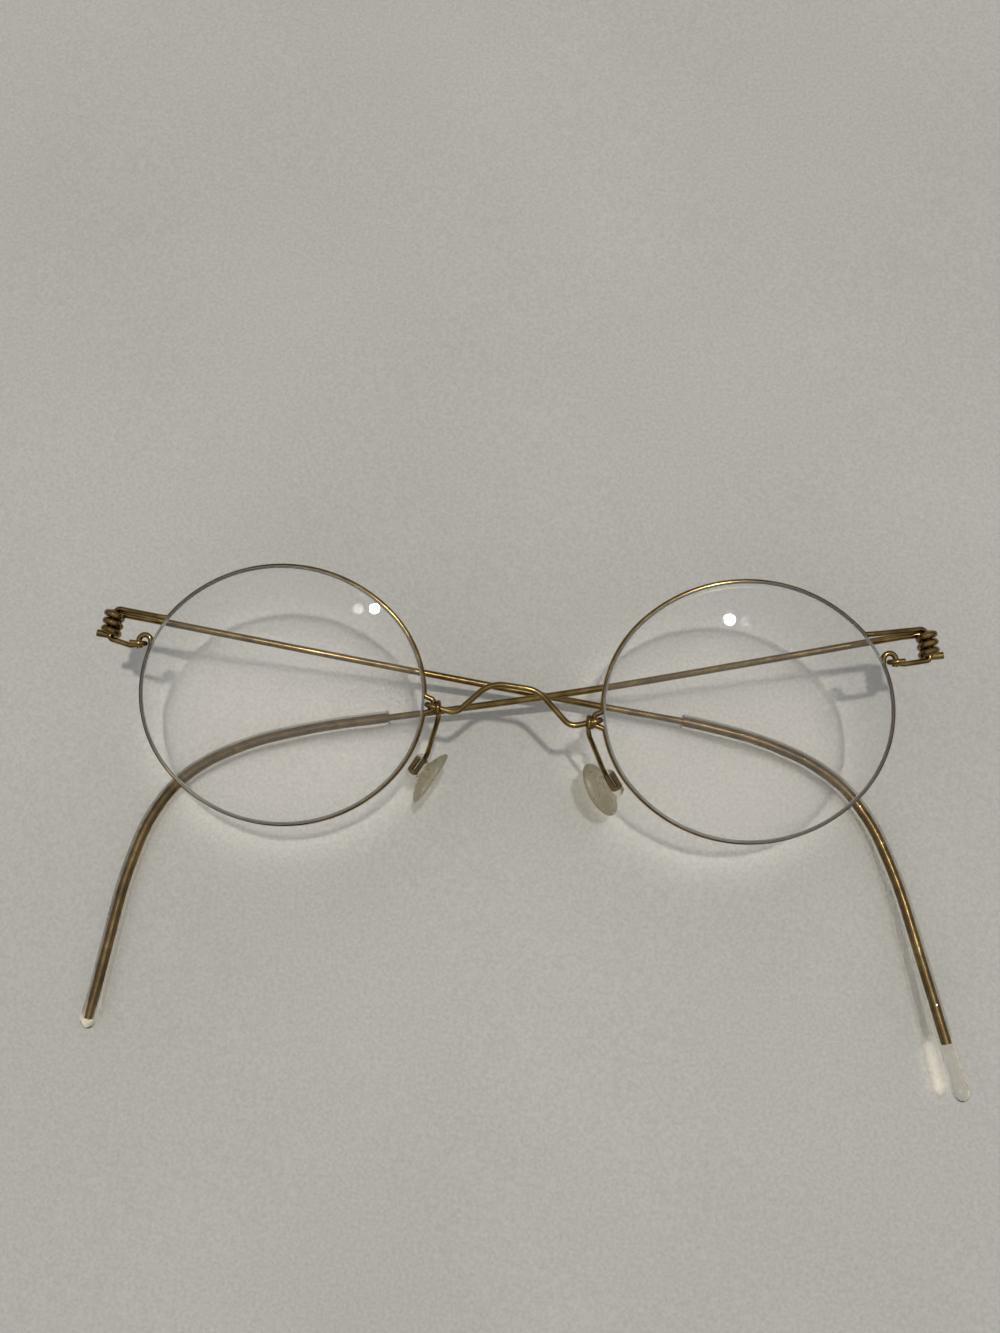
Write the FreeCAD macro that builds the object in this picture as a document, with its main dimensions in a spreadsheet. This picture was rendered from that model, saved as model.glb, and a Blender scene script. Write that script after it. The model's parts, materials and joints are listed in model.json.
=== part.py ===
import FreeCAD, Part
import math
import os
from FreeCAD import Placement, Rotation, Vector

# Screwless wire eyeglasses, folded and lying on their temples with the front facing up.
# Every metal piece is one bent wire. Millimetres and degrees throughout.
# +X points to the wearer's left, +Y up the frame to the brow, +Z away from the bed.
# "out" is the distance from the nose outwards on either side; side is -1 on the
# wearer's right and +1 on the wearer's left, so X = side * out.

SIZES = [
    # alias, value, meaning
    ("lens_width", 40.7, "lens across, edge to edge"),
    ("lens_side_radius", 17.0, "radius of the lens's two side arcs"),
    ("lens_top_radius", 21.85, "radius of the lens's top arc"),
    ("lens_bottom_radius", 21.5, "radius of the lens's bottom arc"),
    ("lens_spacing", 66.2, "between the two lens centres"),
    ("lens_edge", 2.0, "lens edge thickness"),
    ("lens_edge_ahead", 0.7, "part of the edge in front of the groove's centre"),
    ("lens_front_radius", 92.0, "front surface of the lens"),
    ("lens_back_radius", 74.0, "back surface of the lens"),
    ("lens_blank_spare", 4.2, "blank above the lens's edge, for the front sphere to trim"),
    ("groove_clearance", 0.02, "round the rim wire in its groove"),
    ("rim_wire", 0.78, "diameter of the rim wire"),
    ("bridge_wire", 0.85, "diameter of the bridge wire"),
    ("arm_wire", 0.72, "diameter of the pad arm wire"),
    ("temple_wire", 1.05, "diameter of the temple wire"),
    ("wire_gap", 0.04, "between wires that hook round each other"),
    ("front_rise", 13.0, "front's middle above the bed"),
    ("front_tilt", 9.0, "front against the hinge pins"),
    ("hinge_out", 58.6, "hinge pin from the middle of the nose"),
    ("pin_behind", 1.6, "hinge pin behind the rim's plane"),
    ("pin_lean", 6.5, "the pin's foot leans outwards"),
    ("pin_clearance", 0.06, "radial, between the pin and the coil's bore"),
    ("right_hinge_rise", 9.4, "right hinge above the lens centre"),
    ("left_hinge_rise", 10.4, "left hinge above the lens centre"),
    ("coil_turns", 3.0, "whole turns of each temple's hinge coil"),
    ("coil_gap", 0.03, "between two turns of the coil"),
    ("coil_flat", 45.0, "turn over which the coil's ends level out"),
    ("bar_rise", 1.4, "rim leaves the lens for its bar, above the hinge"),
    ("bar_stem", 0.55, "rim beyond the lens before it turns into its bar"),
    ("bar_ease", 1.3, "first, nearly level part of the bar"),
    ("bar_ease_lift", 0.13, "rise of the bar's first part"),
    ("bar_radius", 0.6, "bend where the rim turns into its bar"),
    ("bar_sweep_radius", 2.0, "bend after the bar's first part"),
    ("cane_drop", 3.5, "rim's lower end leaves the lens, below the hinge"),
    ("cane_stem", 0.8, "rim's lower end before its cane hook"),
    ("cane_lean", 28.0, "cane hook against the lens's tangent"),
    ("cane_leg", 0.975, "cane hook's free leg past its bend"),
    ("cane_foot_radius", 1.29, "bend where the rim turns into its cane hook"),
    ("end_hook_height", 0.39, "end hook's middle up the cane's free leg from its bend"),
    ("end_hook_reach", 1.014, "end hook beyond the middle of the cane's free leg"),
    ("end_hook_lead", 0.6, "straight lead into the end hook"),
    ("end_hook_tip", 0.35, "end hook's cut end, up along the cane"),
    ("stub_length", 2.1, "free end of the temple wire, from the pin's axis"),
    ("right_fold", 9.6, "right temple below the front when folded"),
    ("left_fold", 8.3, "left temple below the front when folded"),
    ("right_droop", 1.3, "right temple against the square of its pin"),
    ("left_droop", 4.45, "left temple against the square of its pin"),
    ("right_straight", 85.0, "right pin to the corner where the ear bend starts"),
    ("left_straight", 87.4, "left pin to the corner where the ear bend starts"),
    ("temple_ease", 3.0, "straight wire from the coil to the temple's first slight bend"),
    ("temple_ease_radius", 3.0, "the temple's first slight bend"),
    ("temple_length", 152.0, "pin to the wire's end, along the wire"),
    ("right_ear_bend", 69.0, "whole turn of the right ear bend"),
    ("left_ear_bend", 73.0, "whole turn of the left ear bend"),
    ("right_set", 0.0, "right temple's slight turn up along its straight part"),
    ("left_set", 2.0, "left temple's slight turn up along its straight part"),
    ("ear_bend_length", 41.0, "from the ear bend's first corner to its last"),
    ("right_wrap", 8.5, "right temple's whole turn towards the head"),
    ("left_wrap", 4.5, "left temple's whole turn towards the head"),
    ("sleeve_outer", 2.2, "outside diameter of the temple sleeve"),
    ("sleeve_length", 74.0, "sleeve along the wire, with its tip"),
    ("sleeve_clearance", 0.03, "round the temple wire in its sleeve"),
    ("grip_along", 141.0, "pin to the middle of a cord's grip on the sleeve"),
    ("sleeve_tip_length", 6.0, "flattened tip at the sleeve's end"),
    ("sleeve_tip_wall", 0.9, "least silicone past the wire's end"),
    ("sleeve_tip_width", 2.64, "widest part of the flattened tip"),
    ("sleeve_tip_thickness", 1.9, "thinnest part of the flattened tip"),
    ("right_sleeve_start", 86.0, "pin to the right sleeve's mouth, along the wire"),
    ("left_sleeve_start", 79.5, "pin to the left sleeve's mouth, along the wire"),
    ("right_node_drop", 0.7, "right bridge joint below the lens centre"),
    ("left_node_drop", 2.0, "left bridge joint below the lens centre"),
    ("kink_reach", 1.36, "rim wire's kink beyond the lens edge"),
    ("kink_half", 1.25, "kink's two feet above and below the bridge joint"),
    ("kink_flat", 0.7, "kink's two tips above and below the bridge joint"),
    ("kink_ease", 0.45, "straight wire on the lens edge before each foot of the kink"),
    ("kink_foot_radius", 0.55, "bend at the kink's feet"),
    ("kink_tip_radius", 0.5, "bend at the kink's tips"),
    ("bridge_valley_out", 8.1, "bridge's valley corners from the middle of the nose"),
    ("bridge_valley_dip", 1.05, "bridge's valley corners below its joints"),
    ("bridge_valley_radius", 2.0, "bend at the bridge's valleys"),
    ("bridge_crown", 2.35, "bridge's crown corners above the lens centre"),
    ("bridge_crown_out", 3.35, "bridge's crown corners from the middle of the nose"),
    ("bridge_crown_radius", 4.5, "bend at the bridge's crown"),
    ("bridge_crown_tilt", 0.3, "crown's slant, as a share of the slant between the joints"),
    ("bridge_tail_out", 1.3, "bridge's cut end outwards from its joint"),
    ("bridge_tail_drop", 1.15, "bridge's cut end below its joint"),
    ("bridge_forward", 1.2, "bridge's crown in front of the rim's plane"),
    ("arm_shoulder", 1.5, "pad arm's shoulder below the bridge wire"),
    ("arm_radius", 2.5, "bends at the pad arm's shoulder and at its clip"),
    ("crook_tail", 0.2, "crook's cut end forward of its bend"),
    ("crook_tail_radius", 0.45, "bend at the crook's cut end"),
    ("arm_reach_down", 7.6, "pad arm from the bridge joint to the pad's clip"),
    ("arm_reach_back", 4.6, "pad's clip behind the rim's plane"),
    ("right_clip_out", 12.9, "right pad's clip from the middle of the nose"),
    ("left_clip_out", 13.9, "left pad's clip from the middle of the nose"),
    ("clip_length", 3.4, "hairpin that holds the pad"),
    ("clip_slope", 33.0, "hairpin against the upright"),
    ("clip_back", 0.12, "hairpin's reach backwards for each unit of its length"),
    ("clip_tail", 0.8, "hairpin's cut end from its root"),
    ("pad_length", 8.6, "nose pad, long way"),
    ("pad_width", 6.0, "nose pad, short way"),
    ("pad_thickness", 2.1, "nose pad's oval"),
    ("pad_offset", 2.3, "middle of the pad's oval from the hairpin's axis"),
    ("pad_neck", 1.8, "width of the neck between the boss and the oval"),
    ("pad_drop", 0.7, "middle of the pad's oval below the hairpin's middle"),
    ("pad_boss", 2.2, "diameter of the boss behind the pad"),
    ("pad_boss_cap", 0.9, "boss past the hairpin's end"),
    ("pad_bore_end", 0.15, "bore past the hairpin's end"),
    ("pad_bore_clearance", 0.05, "radial, between the hairpin and the pad's bore"),
    ("right_pad_turn", 4.0, "right pad turned on its hairpin"),
    ("left_pad_turn", 36.0, "left pad turned on its hairpin"),
]

SIDES = (("right", -1), ("left", 1))
NEAR = 1e-6  # lengths and angles below this count as none
OVERCUT = 1.0  # how far a cutting shape runs past the surface that it opens
SNUG = 0.98  # bend radius of a tight hook against half the gap that it spans
BEND_SHARE = 0.45  # share of its shorter run that a temple bend may take up
COIL_ARCS = 12  # arcs in one turn of the coil

# the temple's straight part: share of its length, of the ear bend and of the wrap
STRAIGHT_SHARES = ((0.54, 0.0, 0.3), (0.27, 0.0, 0.35), (0.19, 0.07, 0.35))
# the ear bend: share of its length and of its whole turn
EAR_SHARES = ((0.25, 0.13), (0.20, 0.19), (0.16, 0.28), (0.17, 0.22), (0.22, 0.11))
# the sleeve's tip: share of its length, then of the way from the tube's radius to the
# tip's own half-width and half-thickness, then of the size that is left
TIP_STATIONS = ((0.0, 0.0, 1.0), (0.35, 0.35, 1.0), (0.75, 1.0, 1.0), (0.93, 1.0, 0.78),
                (1.0, 1.0, 0.3))
# the pad's oval from the arm's side to the nose: share of half its thickness, and of its
# length and width
PAD_PROFILE = ((-1.0, 0.4), (-0.8, 0.6), (-0.4, 0.8), (0.1, 0.95), (0.5, 1.0),
               (0.85, 0.88), (1.0, 0.55))


def make_sheet(doc):
    """The spreadsheet of driving dimensions: alias, value and meaning in three columns."""
    sheet = doc.addObject("Spreadsheet::Sheet", "sizes")
    for row, (alias, value, meaning) in enumerate(SIZES, start=1):
        sheet.set("A%d" % row, alias)
        sheet.set("B%d" % row, str(value))
        sheet.set("C%d" % row, meaning)
        sheet.setAlias("B%d" % row, alias)
    doc.recompute()
    return sheet


# ---------------------------------------------------------------- wire paths

def arc_through(first, middle, last):
    return Part.Arc(first, middle, last).toShape()


def line_between(first, last):
    return Part.LineSegment(first, last).toShape()


def bent_edges(points, bend):
    """Straight runs joined by tangent arcs: bend is one radius, or one for each inner point."""
    inner = len(points) - 2
    radii = list(bend) if isinstance(bend, (list, tuple)) else [bend] * inner
    edges = []
    start = points[0]
    for index in range(1, len(points) - 1):
        corner = points[index]
        back = (points[index - 1] - corner).normalize()
        ahead = (points[index + 1] - corner).normalize()
        half = back.getAngle(ahead) / 2.0
        if math.pi / 2.0 - half < NEAR:
            continue
        radius = radii[index - 1]
        trim = radius / math.tan(half)
        enter = corner + back * trim
        leave = corner + ahead * trim
        middle_ray = (back + ahead).normalize()
        middle = corner + middle_ray * (radius / math.sin(half) - radius)
        if start.distanceToPoint(enter) > NEAR:
            edges.append(line_between(start, enter))
        edges.append(arc_through(enter, middle, leave))
        start = leave
    if start.distanceToPoint(points[-1]) > NEAR:
        edges.append(line_between(start, points[-1]))
    return edges


def swept_rod(edges, diameter):
    """A round rod of the given diameter along the edges, which run in order."""
    path = Part.Wire(edges)
    start = edges[0].valueAt(edges[0].FirstParameter)
    direction = edges[0].tangentAt(edges[0].FirstParameter)
    circle = Part.Wire([Part.makeCircle(diameter / 2.0, start, direction)])
    rod = path.makePipeShell([circle], True, False)
    length = sum(edge.Length for edge in edges)
    expected = math.pi * diameter * diameter / 4.0 * length
    if abs(rod.Volume - expected) > 0.01 * expected:
        raise ValueError("a rod of %.2f mm^3 should hold %.2f mm^3" % (rod.Volume, expected))
    return rod


def cut_edges(edges, start_length, end_length):
    """The part of a path between two distances along it."""
    kept = []
    run = 0.0
    for edge in edges:
        low = max(start_length - run, 0.0)
        high = min(end_length - run, edge.Length)
        if high - low > NEAR:
            first = edge.getParameterByLength(low)
            last = edge.getParameterByLength(high)
            kept.append(edge.Curve.toShape(first, last))
        run += edge.Length
    return kept


# ---------------------------------------------------------------- lens outline

class LensOutline:
    """Four tangent arcs round the lens centre, met by the direction of their normal.

    "out" is 0 at the lens centre and grows towards the temple; the normal's angle is 0
    at the temple, 90 at the brow, 180 at the nose and 270 at the cheek.
    """

    def __init__(self, sheet):
        self.side = sheet.lens_side_radius
        self.shift = sheet.lens_width / 2.0 - self.side
        self.top = sheet.lens_top_radius
        self.bottom = sheet.lens_bottom_radius
        self.top_drop = math.sqrt((self.top - self.side) ** 2 - self.shift ** 2)
        self.bottom_lift = math.sqrt((self.bottom - self.side) ** 2 - self.shift ** 2)
        self.top_turn = math.degrees(math.atan2(self.top_drop, self.shift))
        self.bottom_turn = math.degrees(math.atan2(self.bottom_lift, self.shift))

    def corners(self):
        """Normal angles at which one arc meets the next."""
        return (self.top_turn, 180.0 - self.top_turn,
                180.0 + self.bottom_turn, 360.0 - self.bottom_turn)

    def arc(self, angle):
        """Centre and radius of the arc at a normal angle."""
        first, second, third, fourth = self.corners()
        turn = angle % 360.0
        if first < turn < second:
            return Vector(0, -self.top_drop, 0), self.top
        if second <= turn <= third:
            return Vector(-self.shift, 0, 0), self.side
        if third < turn < fourth:
            return Vector(0, self.bottom_lift, 0), self.bottom
        return Vector(self.shift, 0, 0), self.side

    def point(self, angle):
        centre, radius = self.arc(angle)
        turn = math.radians(angle)
        return centre + Vector(radius * math.cos(turn), radius * math.sin(turn), 0)

    def tangent(self, angle):
        """Direction of travel when the normal's angle falls."""
        turn = math.radians(angle)
        return Vector(math.sin(turn), -math.cos(turn), 0)

    def nose_angle(self, rise):
        """Normal angle of the point on the nose side at a height above the centre."""
        return 180.0 - math.degrees(math.asin(rise / self.side))

    def temple_angle(self, rise):
        """Normal angle of the point on the temple side at a height above the centre."""
        return math.degrees(math.asin(rise / self.side))

    def edges(self, high, low, place):
        """Arcs from one normal angle down to a lower one, each point put through place."""
        stops = [high]
        for turn in range(1, -2, -1):
            stops += [corner + 360.0 * turn for corner in reversed(self.corners())]
        stops = [stop for stop in stops if low < stop <= high] + [low]
        stops = sorted(set(stops), reverse=True)
        arcs = []
        for first, last in zip(stops, stops[1:]):
            middle = (first + last) / 2.0
            centre, radius = self.arc(middle)
            ends = []
            for angle in (first, middle, last):
                turn = math.radians(angle)
                spot = Vector(radius * math.cos(turn), radius * math.sin(turn), 0)
                ends.append(place(centre + spot))
            arcs.append(arc_through(*ends))
        return arcs


# ---------------------------------------------------------------- placements

def front_placement(sheet):
    """From the front's own frame, whose XY plane holds both rims, to the bed's frame."""
    return Placement(Vector(0, 0, sheet.front_rise),
                     Rotation(Vector(1, 0, 0), sheet.front_tilt))


def hinge_placement(sheet, name, side):
    """Hinge frame in the bed's frame: Y up the pin, X inwards along the folded temple."""
    rise = sheet.get(name + "_hinge_rise")
    spot = Vector(side * sheet.hinge_out, rise, -sheet.pin_behind)
    centre = front_placement(sheet).multVec(spot)
    lean = Rotation(Vector(0, 0, 1), side * sheet.pin_lean)
    return Placement(centre, lean)


def temple_placement(sheet, name, side):
    """The hinge frame turned down about the pin by the temple's folded angle."""
    fold = Rotation(Vector(0, 1, 0), -side * sheet.get(name + "_fold"))
    return hinge_placement(sheet, name, side).multiply(Placement(Vector(), fold))


def in_front_frame(sheet, name, side, point):
    """A point of the hinge frame, in the front's own frame."""
    bed = hinge_placement(sheet, name, side).multVec(point)
    return front_placement(sheet).inverse().multVec(bed)


# ---------------------------------------------------------------- coil sizes

def coil_pitch(sheet):
    """Rise of one turn that keeps the levelled end turns clear of their neighbours."""
    loss = sheet.coil_flat / 720.0
    return (sheet.temple_wire + sheet.coil_gap) / (1.0 - loss)


def coil_radius(sheet):
    return sheet.rim_wire / 2.0 + sheet.pin_clearance + sheet.temple_wire / 2.0


def coil_height(sheet, turn):
    """Height of the coil's centre line after so many degrees, from its lower end."""
    whole = sheet.coil_turns * 360.0
    flat = sheet.coil_flat
    if turn <= flat:
        sweep = turn * turn / (2.0 * flat)
    elif turn <= whole - flat:
        sweep = turn - flat / 2.0
    else:
        sweep = whole - flat - (whole - turn) ** 2 / (2.0 * flat)
    return coil_pitch(sheet) * sweep / 360.0


# ---------------------------------------------------------------- wires of the front

def rim_edges(sheet, name, side):
    """One rim: cane hook, round the lens with a kink at the nose, bar, pin and end hook."""
    outline = LensOutline(sheet)
    half = sheet.lens_spacing / 2.0
    wire = sheet.rim_wire

    def place(local, depth=0.0):
        return Vector(side * (half + local.x), local.y, depth)

    # cane hook at the rim's lower end: up the tangent, over and down again
    rise = sheet.get(name + "_hinge_rise")
    low_angle = outline.temple_angle(rise - sheet.cane_drop)
    low = outline.point(low_angle)
    tangent = outline.tangent(low_angle) * -1.0
    along = Rotation(Vector(0, 0, 1), -sheet.cane_lean).multVec(tangent)
    across = Vector(along.y, -along.x, 0)
    cane = wire + sheet.wire_gap * 2.0
    ease = tangent * (cane / 2.0)
    top_left = low + ease + along * (sheet.cane_stem + cane)
    top_right = top_left + across * (2.0 * cane)
    leg_end = top_right - along * (cane + sheet.cane_leg)
    stem = [place(p) for p in (leg_end, top_right, top_left, low + ease, low)]
    hook = bent_edges(stem, [cane, cane, sheet.cane_foot_radius])

    # round the cheek to the kink at the nose
    drop = sheet.get(name + "_node_drop")
    reach = sheet.kink_half + sheet.kink_ease
    below = outline.nose_angle(-drop - reach)
    above = outline.nose_angle(-drop + reach)
    lower_arcs = outline.edges(low_angle, below - 360.0, place)
    enter = outline.point(below)
    leave = outline.point(above)
    nose = outline.point(outline.nose_angle(-drop))
    low_tip = nose + Vector(-sheet.kink_reach, -sheet.kink_flat, 0)
    high_tip = nose + Vector(-sheet.kink_reach, sheet.kink_flat, 0)
    enter_foot = enter + outline.tangent(below) * sheet.kink_ease
    leave_foot = leave - outline.tangent(above) * sheet.kink_ease
    foot, tip = sheet.kink_foot_radius, sheet.kink_tip_radius
    kink_points = [enter, enter_foot, low_tip, high_tip, leave_foot, leave]
    kink = bent_edges([place(p) for p in kink_points], [foot, tip, tip, foot])

    # over the brow, out along the bar and down through the coil
    bar_angle = outline.temple_angle(rise + sheet.bar_rise)
    upper_arcs = outline.edges(above, bar_angle, place)
    bar_start = outline.point(bar_angle)
    bar_turn = bar_start + outline.tangent(bar_angle) * sheet.bar_stem
    bar_ease = bar_turn + Vector(sheet.bar_ease, sheet.bar_ease_lift, 0)
    coil_half = coil_height(sheet, sheet.coil_turns * 360.0) / 2.0
    pin_top = coil_half + sheet.temple_wire / 2.0 + sheet.wire_gap * 2.0
    pin_foot = -coil_half - sheet.temple_wire / 2.0 - sheet.wire_gap * 3.0
    corner_top = in_front_frame(sheet, name, side, Vector(0, pin_top, 0))
    corner_foot = in_front_frame(sheet, name, side, Vector(0, pin_foot, 0))

    # end hook: behind the cane's outer leg, through the cane and out again in front
    leg = top_right - along * (cane + sheet.end_hook_height)
    around = wire + sheet.wire_gap
    inner = leg - across * around
    outer = leg + across * sheet.end_hook_reach
    hook_in = place(outer + across * sheet.end_hook_lead, -around)
    behind = place(inner, -around)
    before = place(inner, around)
    hook_end = place(outer + along * sheet.end_hook_tip, around)
    tail = [place(bar_start), place(bar_turn), place(bar_ease), corner_top,
            corner_foot, hook_in, behind, before, hook_end]
    bends = [sheet.bar_radius, sheet.bar_sweep_radius, wire, 0.75 * wire, sheet.bar_radius,
             around * SNUG, around * SNUG]
    return hook + lower_arcs + kink + upper_arcs + bent_edges(tail, bends)


def bridge_joint(sheet, name):
    """Middle of the opening between the lens edge and the rim's kink: out and height."""
    outline = LensOutline(sheet)
    drop = sheet.get(name + "_node_drop")
    edge = sheet.lens_spacing / 2.0 + outline.point(outline.nose_angle(-drop)).x
    room = sheet.kink_reach - sheet.rim_wire / 2.0
    return edge - room / 2.0, -drop


def kink_out(sheet, name):
    """Centre line of the rim's kink from the middle of the nose, at its furthest."""
    out, height = bridge_joint(sheet, name)
    return out + (sheet.kink_reach - sheet.rim_wire / 2.0) / 2.0 - sheet.kink_reach


def bridge_valley(sheet, name):
    """Height of the bridge's valley corner."""
    return -sheet.get(name + "_node_drop") - sheet.bridge_valley_dip


def bridge_slope_height(sheet, name, out_at):
    """Height of the bridge's slope from its joint to its valley, at a distance out."""
    out, height = bridge_joint(sheet, name)
    share = (out - out_at) / (out - sheet.bridge_valley_out)
    return height + share * (bridge_valley(sheet, name) - height)


def bridge_hook(sheet, name, side):
    """From the cut end behind the rim's kink, through the opening and out in front."""
    out, height = bridge_joint(sheet, name)
    lift = (sheet.rim_wire + sheet.bridge_wire) / 2.0 + sheet.wire_gap
    tail = (out - sheet.bridge_tail_out, height - sheet.bridge_tail_drop)
    return [Vector(side * tail[0], tail[1], -lift),
            Vector(side * out, height, -lift),
            Vector(side * out, height, lift)]


def bridge_edges(sheet):
    """Hook, flat, valley, crown, valley, flat and hook of the bridge."""
    lift = (sheet.rim_wire + sheet.bridge_wire) / 2.0 + sheet.wire_gap
    tilt = (sheet.left_node_drop - sheet.right_node_drop) * sheet.bridge_crown_tilt
    points = bridge_hook(sheet, "right", -1)
    for name, side in SIDES:
        valley = bridge_valley(sheet, name)
        shoulder = sheet.bridge_crown - side * tilt
        corners = [Vector(side * sheet.bridge_valley_out, valley, lift),
                   Vector(side * sheet.bridge_crown_out, shoulder, sheet.bridge_forward)]
        points += corners if side < 0 else reversed(corners)
    points += reversed(bridge_hook(sheet, "left", 1))
    tight = (sheet.rim_wire + sheet.bridge_wire) / 2.0
    wide = sheet.bridge_crown_radius
    narrow = sheet.bridge_valley_radius
    bends = [tight, tight, narrow, wide, wide, narrow, tight, tight]
    return bent_edges(points, bends)


def clip_axes(sheet, side):
    """Directions of the pad's hairpin: along it, and across it towards the nose."""
    slope = math.radians(sheet.clip_slope)
    along = Vector(side * math.sin(slope), -math.cos(slope), -sheet.clip_back).normalize()
    across = Vector(0, 0, 1).cross(along).normalize() * -side
    return along, across


def clip_root(sheet, name, side):
    """Middle of the hairpin's open end."""
    drop = sheet.get(name + "_node_drop")
    out = sheet.get(name + "_clip_out")
    return Vector(side * out, -drop - sheet.arm_reach_down, -sheet.arm_reach_back)


def arm_edges(sheet, name, side):
    """Crook over the bridge wire, arm down and back, and the hairpin at its end."""
    lift = (sheet.rim_wire + sheet.bridge_wire) / 2.0 + sheet.wire_gap
    crook = (sheet.bridge_wire + sheet.arm_wire) / 2.0 + sheet.wire_gap
    along, across = clip_axes(sheet, side)
    root = clip_root(sheet, name, side)
    pitch = (sheet.arm_wire + sheet.wire_gap) / 2.0
    out = kink_out(sheet, name) - (sheet.rim_wire + sheet.arm_wire) / 2.0 - sheet.wire_gap
    height = bridge_slope_height(sheet, name, out)
    x = side * out
    tip = root + along * (sheet.clip_length - sheet.arm_wire / 2.0)
    points = [Vector(x, height - crook, lift + sheet.crook_tail),
              Vector(x, height - crook, lift + crook),
              Vector(x, height + crook, lift + crook),
              Vector(x, height + crook, lift - crook),
              Vector(x, height - sheet.arm_shoulder, lift - crook),
              root + across * pitch,
              tip + across * pitch,
              tip - across * pitch,
              root + along * sheet.clip_tail - across * pitch]
    snug = crook * SNUG
    bends = [sheet.crook_tail_radius, snug, snug, sheet.arm_radius, sheet.arm_radius,
             pitch * SNUG, pitch * SNUG]
    return bent_edges(points, bends)


# ---------------------------------------------------------------- temples

def temple_edges(sheet, name, side):
    """Free end, coil and temple in the temple's frame: pin up Y, temple along -side X."""
    radius = coil_radius(sheet)
    whole = sheet.coil_turns * 360.0
    base = -coil_height(sheet, whole) / 2.0

    def coil_point(turn):
        angle = math.radians(turn)
        return Vector(-side * radius * math.sin(angle), base + coil_height(sheet, turn),
                      -radius * math.cos(angle))

    start = coil_point(0.0)
    edges = [line_between(start + Vector(side * sheet.stub_length, 0, 0), start)]
    step = 360.0 / COIL_ARCS
    for index in range(coil_edge_count(sheet)):
        turn = index * step
        edges.append(arc_through(coil_point(turn), coil_point(turn + step / 2.0),
                                 coil_point(turn + step)))
    edges += bent_edges(temple_points(sheet, name, side, coil_point(whole)),
                        temple_bends(sheet, name))
    return edges


def temple_route(sheet, name):
    """Run before each corner of the temple, and its turns there: down, and to the head."""
    straight = sheet.get(name + "_straight")
    ear = sheet.ear_bend_length
    bend = sheet.get(name + "_ear_bend")
    wrap = sheet.get(name + "_wrap")
    route = [(straight * run, bend * down, wrap * inwards)
             for run, down, inwards in STRAIGHT_SHARES]
    route[0] = (route[0][0], -sheet.get(name + "_set"), route[0][2])
    route += [(ear * run, bend * down, 0.0) for run, down in EAR_SHARES]
    return route


def temple_points(sheet, name, side, start):
    """Corners of the temple, from where its coil lets go to past its end."""
    points = [start, start + Vector(-side * sheet.temple_ease, 0, 0)]
    heading = sheet.get(name + "_droop")
    lift = 0.0
    last_run = sheet.temple_length
    for run, turn, wrap in temple_route(sheet, name) + [(last_run, 0.0, 0.0)]:
        down = math.radians(heading)
        up = math.radians(lift)
        step = Vector(-side * math.cos(down) * math.cos(up), -math.sin(down) * math.cos(up),
                      math.sin(up))
        points.append(points[-1] + step * run)
        heading += turn
        lift += wrap
    return points


def temple_bends(sheet, name):
    """Bend radii at the temple's corners: each as large as its shorter run allows."""
    route = temple_route(sheet, name)
    radii = [sheet.temple_ease_radius]
    for index, (run, turn, wrap) in enumerate(route):
        shorter = min([run] + [later[0] for later in route[index + 1:index + 2]])
        half = math.radians(math.hypot(turn, wrap)) / 2.0
        radii.append(BEND_SHARE * shorter / math.tan(half))
    return radii


def temple_wire(sheet, name, side):
    """The temple wire cut to its length past the pin."""
    edges = temple_edges(sheet, name, side)
    before = sum(edge.Length for edge in edges[:coil_edge_count(sheet) + 1])
    kept = cut_edges(edges, 0.0, before + sheet.temple_length)
    return swept_rod(kept, sheet.temple_wire)


def coil_edge_count(sheet):
    return int(round(sheet.coil_turns * COIL_ARCS))


def temple_run(sheet, name, side, first, last):
    """The temple's centre line between two distances from the pin."""
    edges = temple_edges(sheet, name, side)[coil_edge_count(sheet) + 1:]
    return cut_edges(edges, first, last)


def sleeve(sheet, name, side):
    """Tube over the temple's end with a flattened, rounded, closed tip."""
    first = sheet.get(name + "_sleeve_start")
    last = first + sheet.sleeve_length
    neck = last - sheet.sleeve_tip_length
    tube = swept_rod(temple_run(sheet, name, side, first, neck), sheet.sleeve_outer)
    end = temple_run(sheet, name, side, neck, last)
    tip = sleeve_tip(sheet, end)
    body = tube.fuse(tip).removeSplitter()
    wire_end = min(sheet.temple_length, last - sheet.sleeve_tip_wall)
    bore = sheet.temple_wire + 2.0 * sheet.sleeve_clearance
    hollow = temple_run(sheet, name, side, first - OVERCUT, wire_end + sheet.sleeve_clearance)
    return body.cut(swept_rod(hollow, bore))


def sleeve_tip(sheet, edges):
    """Round neck that widens to a flattened oval and closes in a rounded end."""
    length = sum(edge.Length for edge in edges)
    start = edges[0].valueAt(edges[0].FirstParameter)
    last_edge = edges[-1]
    end = last_edge.valueAt(last_edge.LastParameter)
    direction = (end - start).normalize()
    thin = Vector(0, 0, 1)
    thin = (thin - direction * thin.dot(direction)).normalize()
    wide = direction.cross(thin)
    neck = sheet.sleeve_outer / 2.0
    broad = sheet.sleeve_tip_width / 2.0
    flat = sheet.sleeve_tip_thickness / 2.0
    sections = [oval(start + direction * length * share, direction, wide,
                     (neck + (broad - neck) * eased) * left, (neck + (flat - neck) * eased) * left)
                for share, eased, left in TIP_STATIONS]
    return Part.makeLoft(sections, True, False)


def oval(centre, normal, wide, across, deep):
    """A closed ellipse; its longer half-axis is the first of the two that is larger."""
    if abs(across - deep) < 0.001:
        return Part.Wire([Part.makeCircle(across, centre, normal)])
    ellipse = Part.Ellipse(centre + wide * across, centre + normal.cross(wide) * deep, centre)
    return Part.Wire([ellipse.toShape()])


# ---------------------------------------------------------------- document objects

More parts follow.
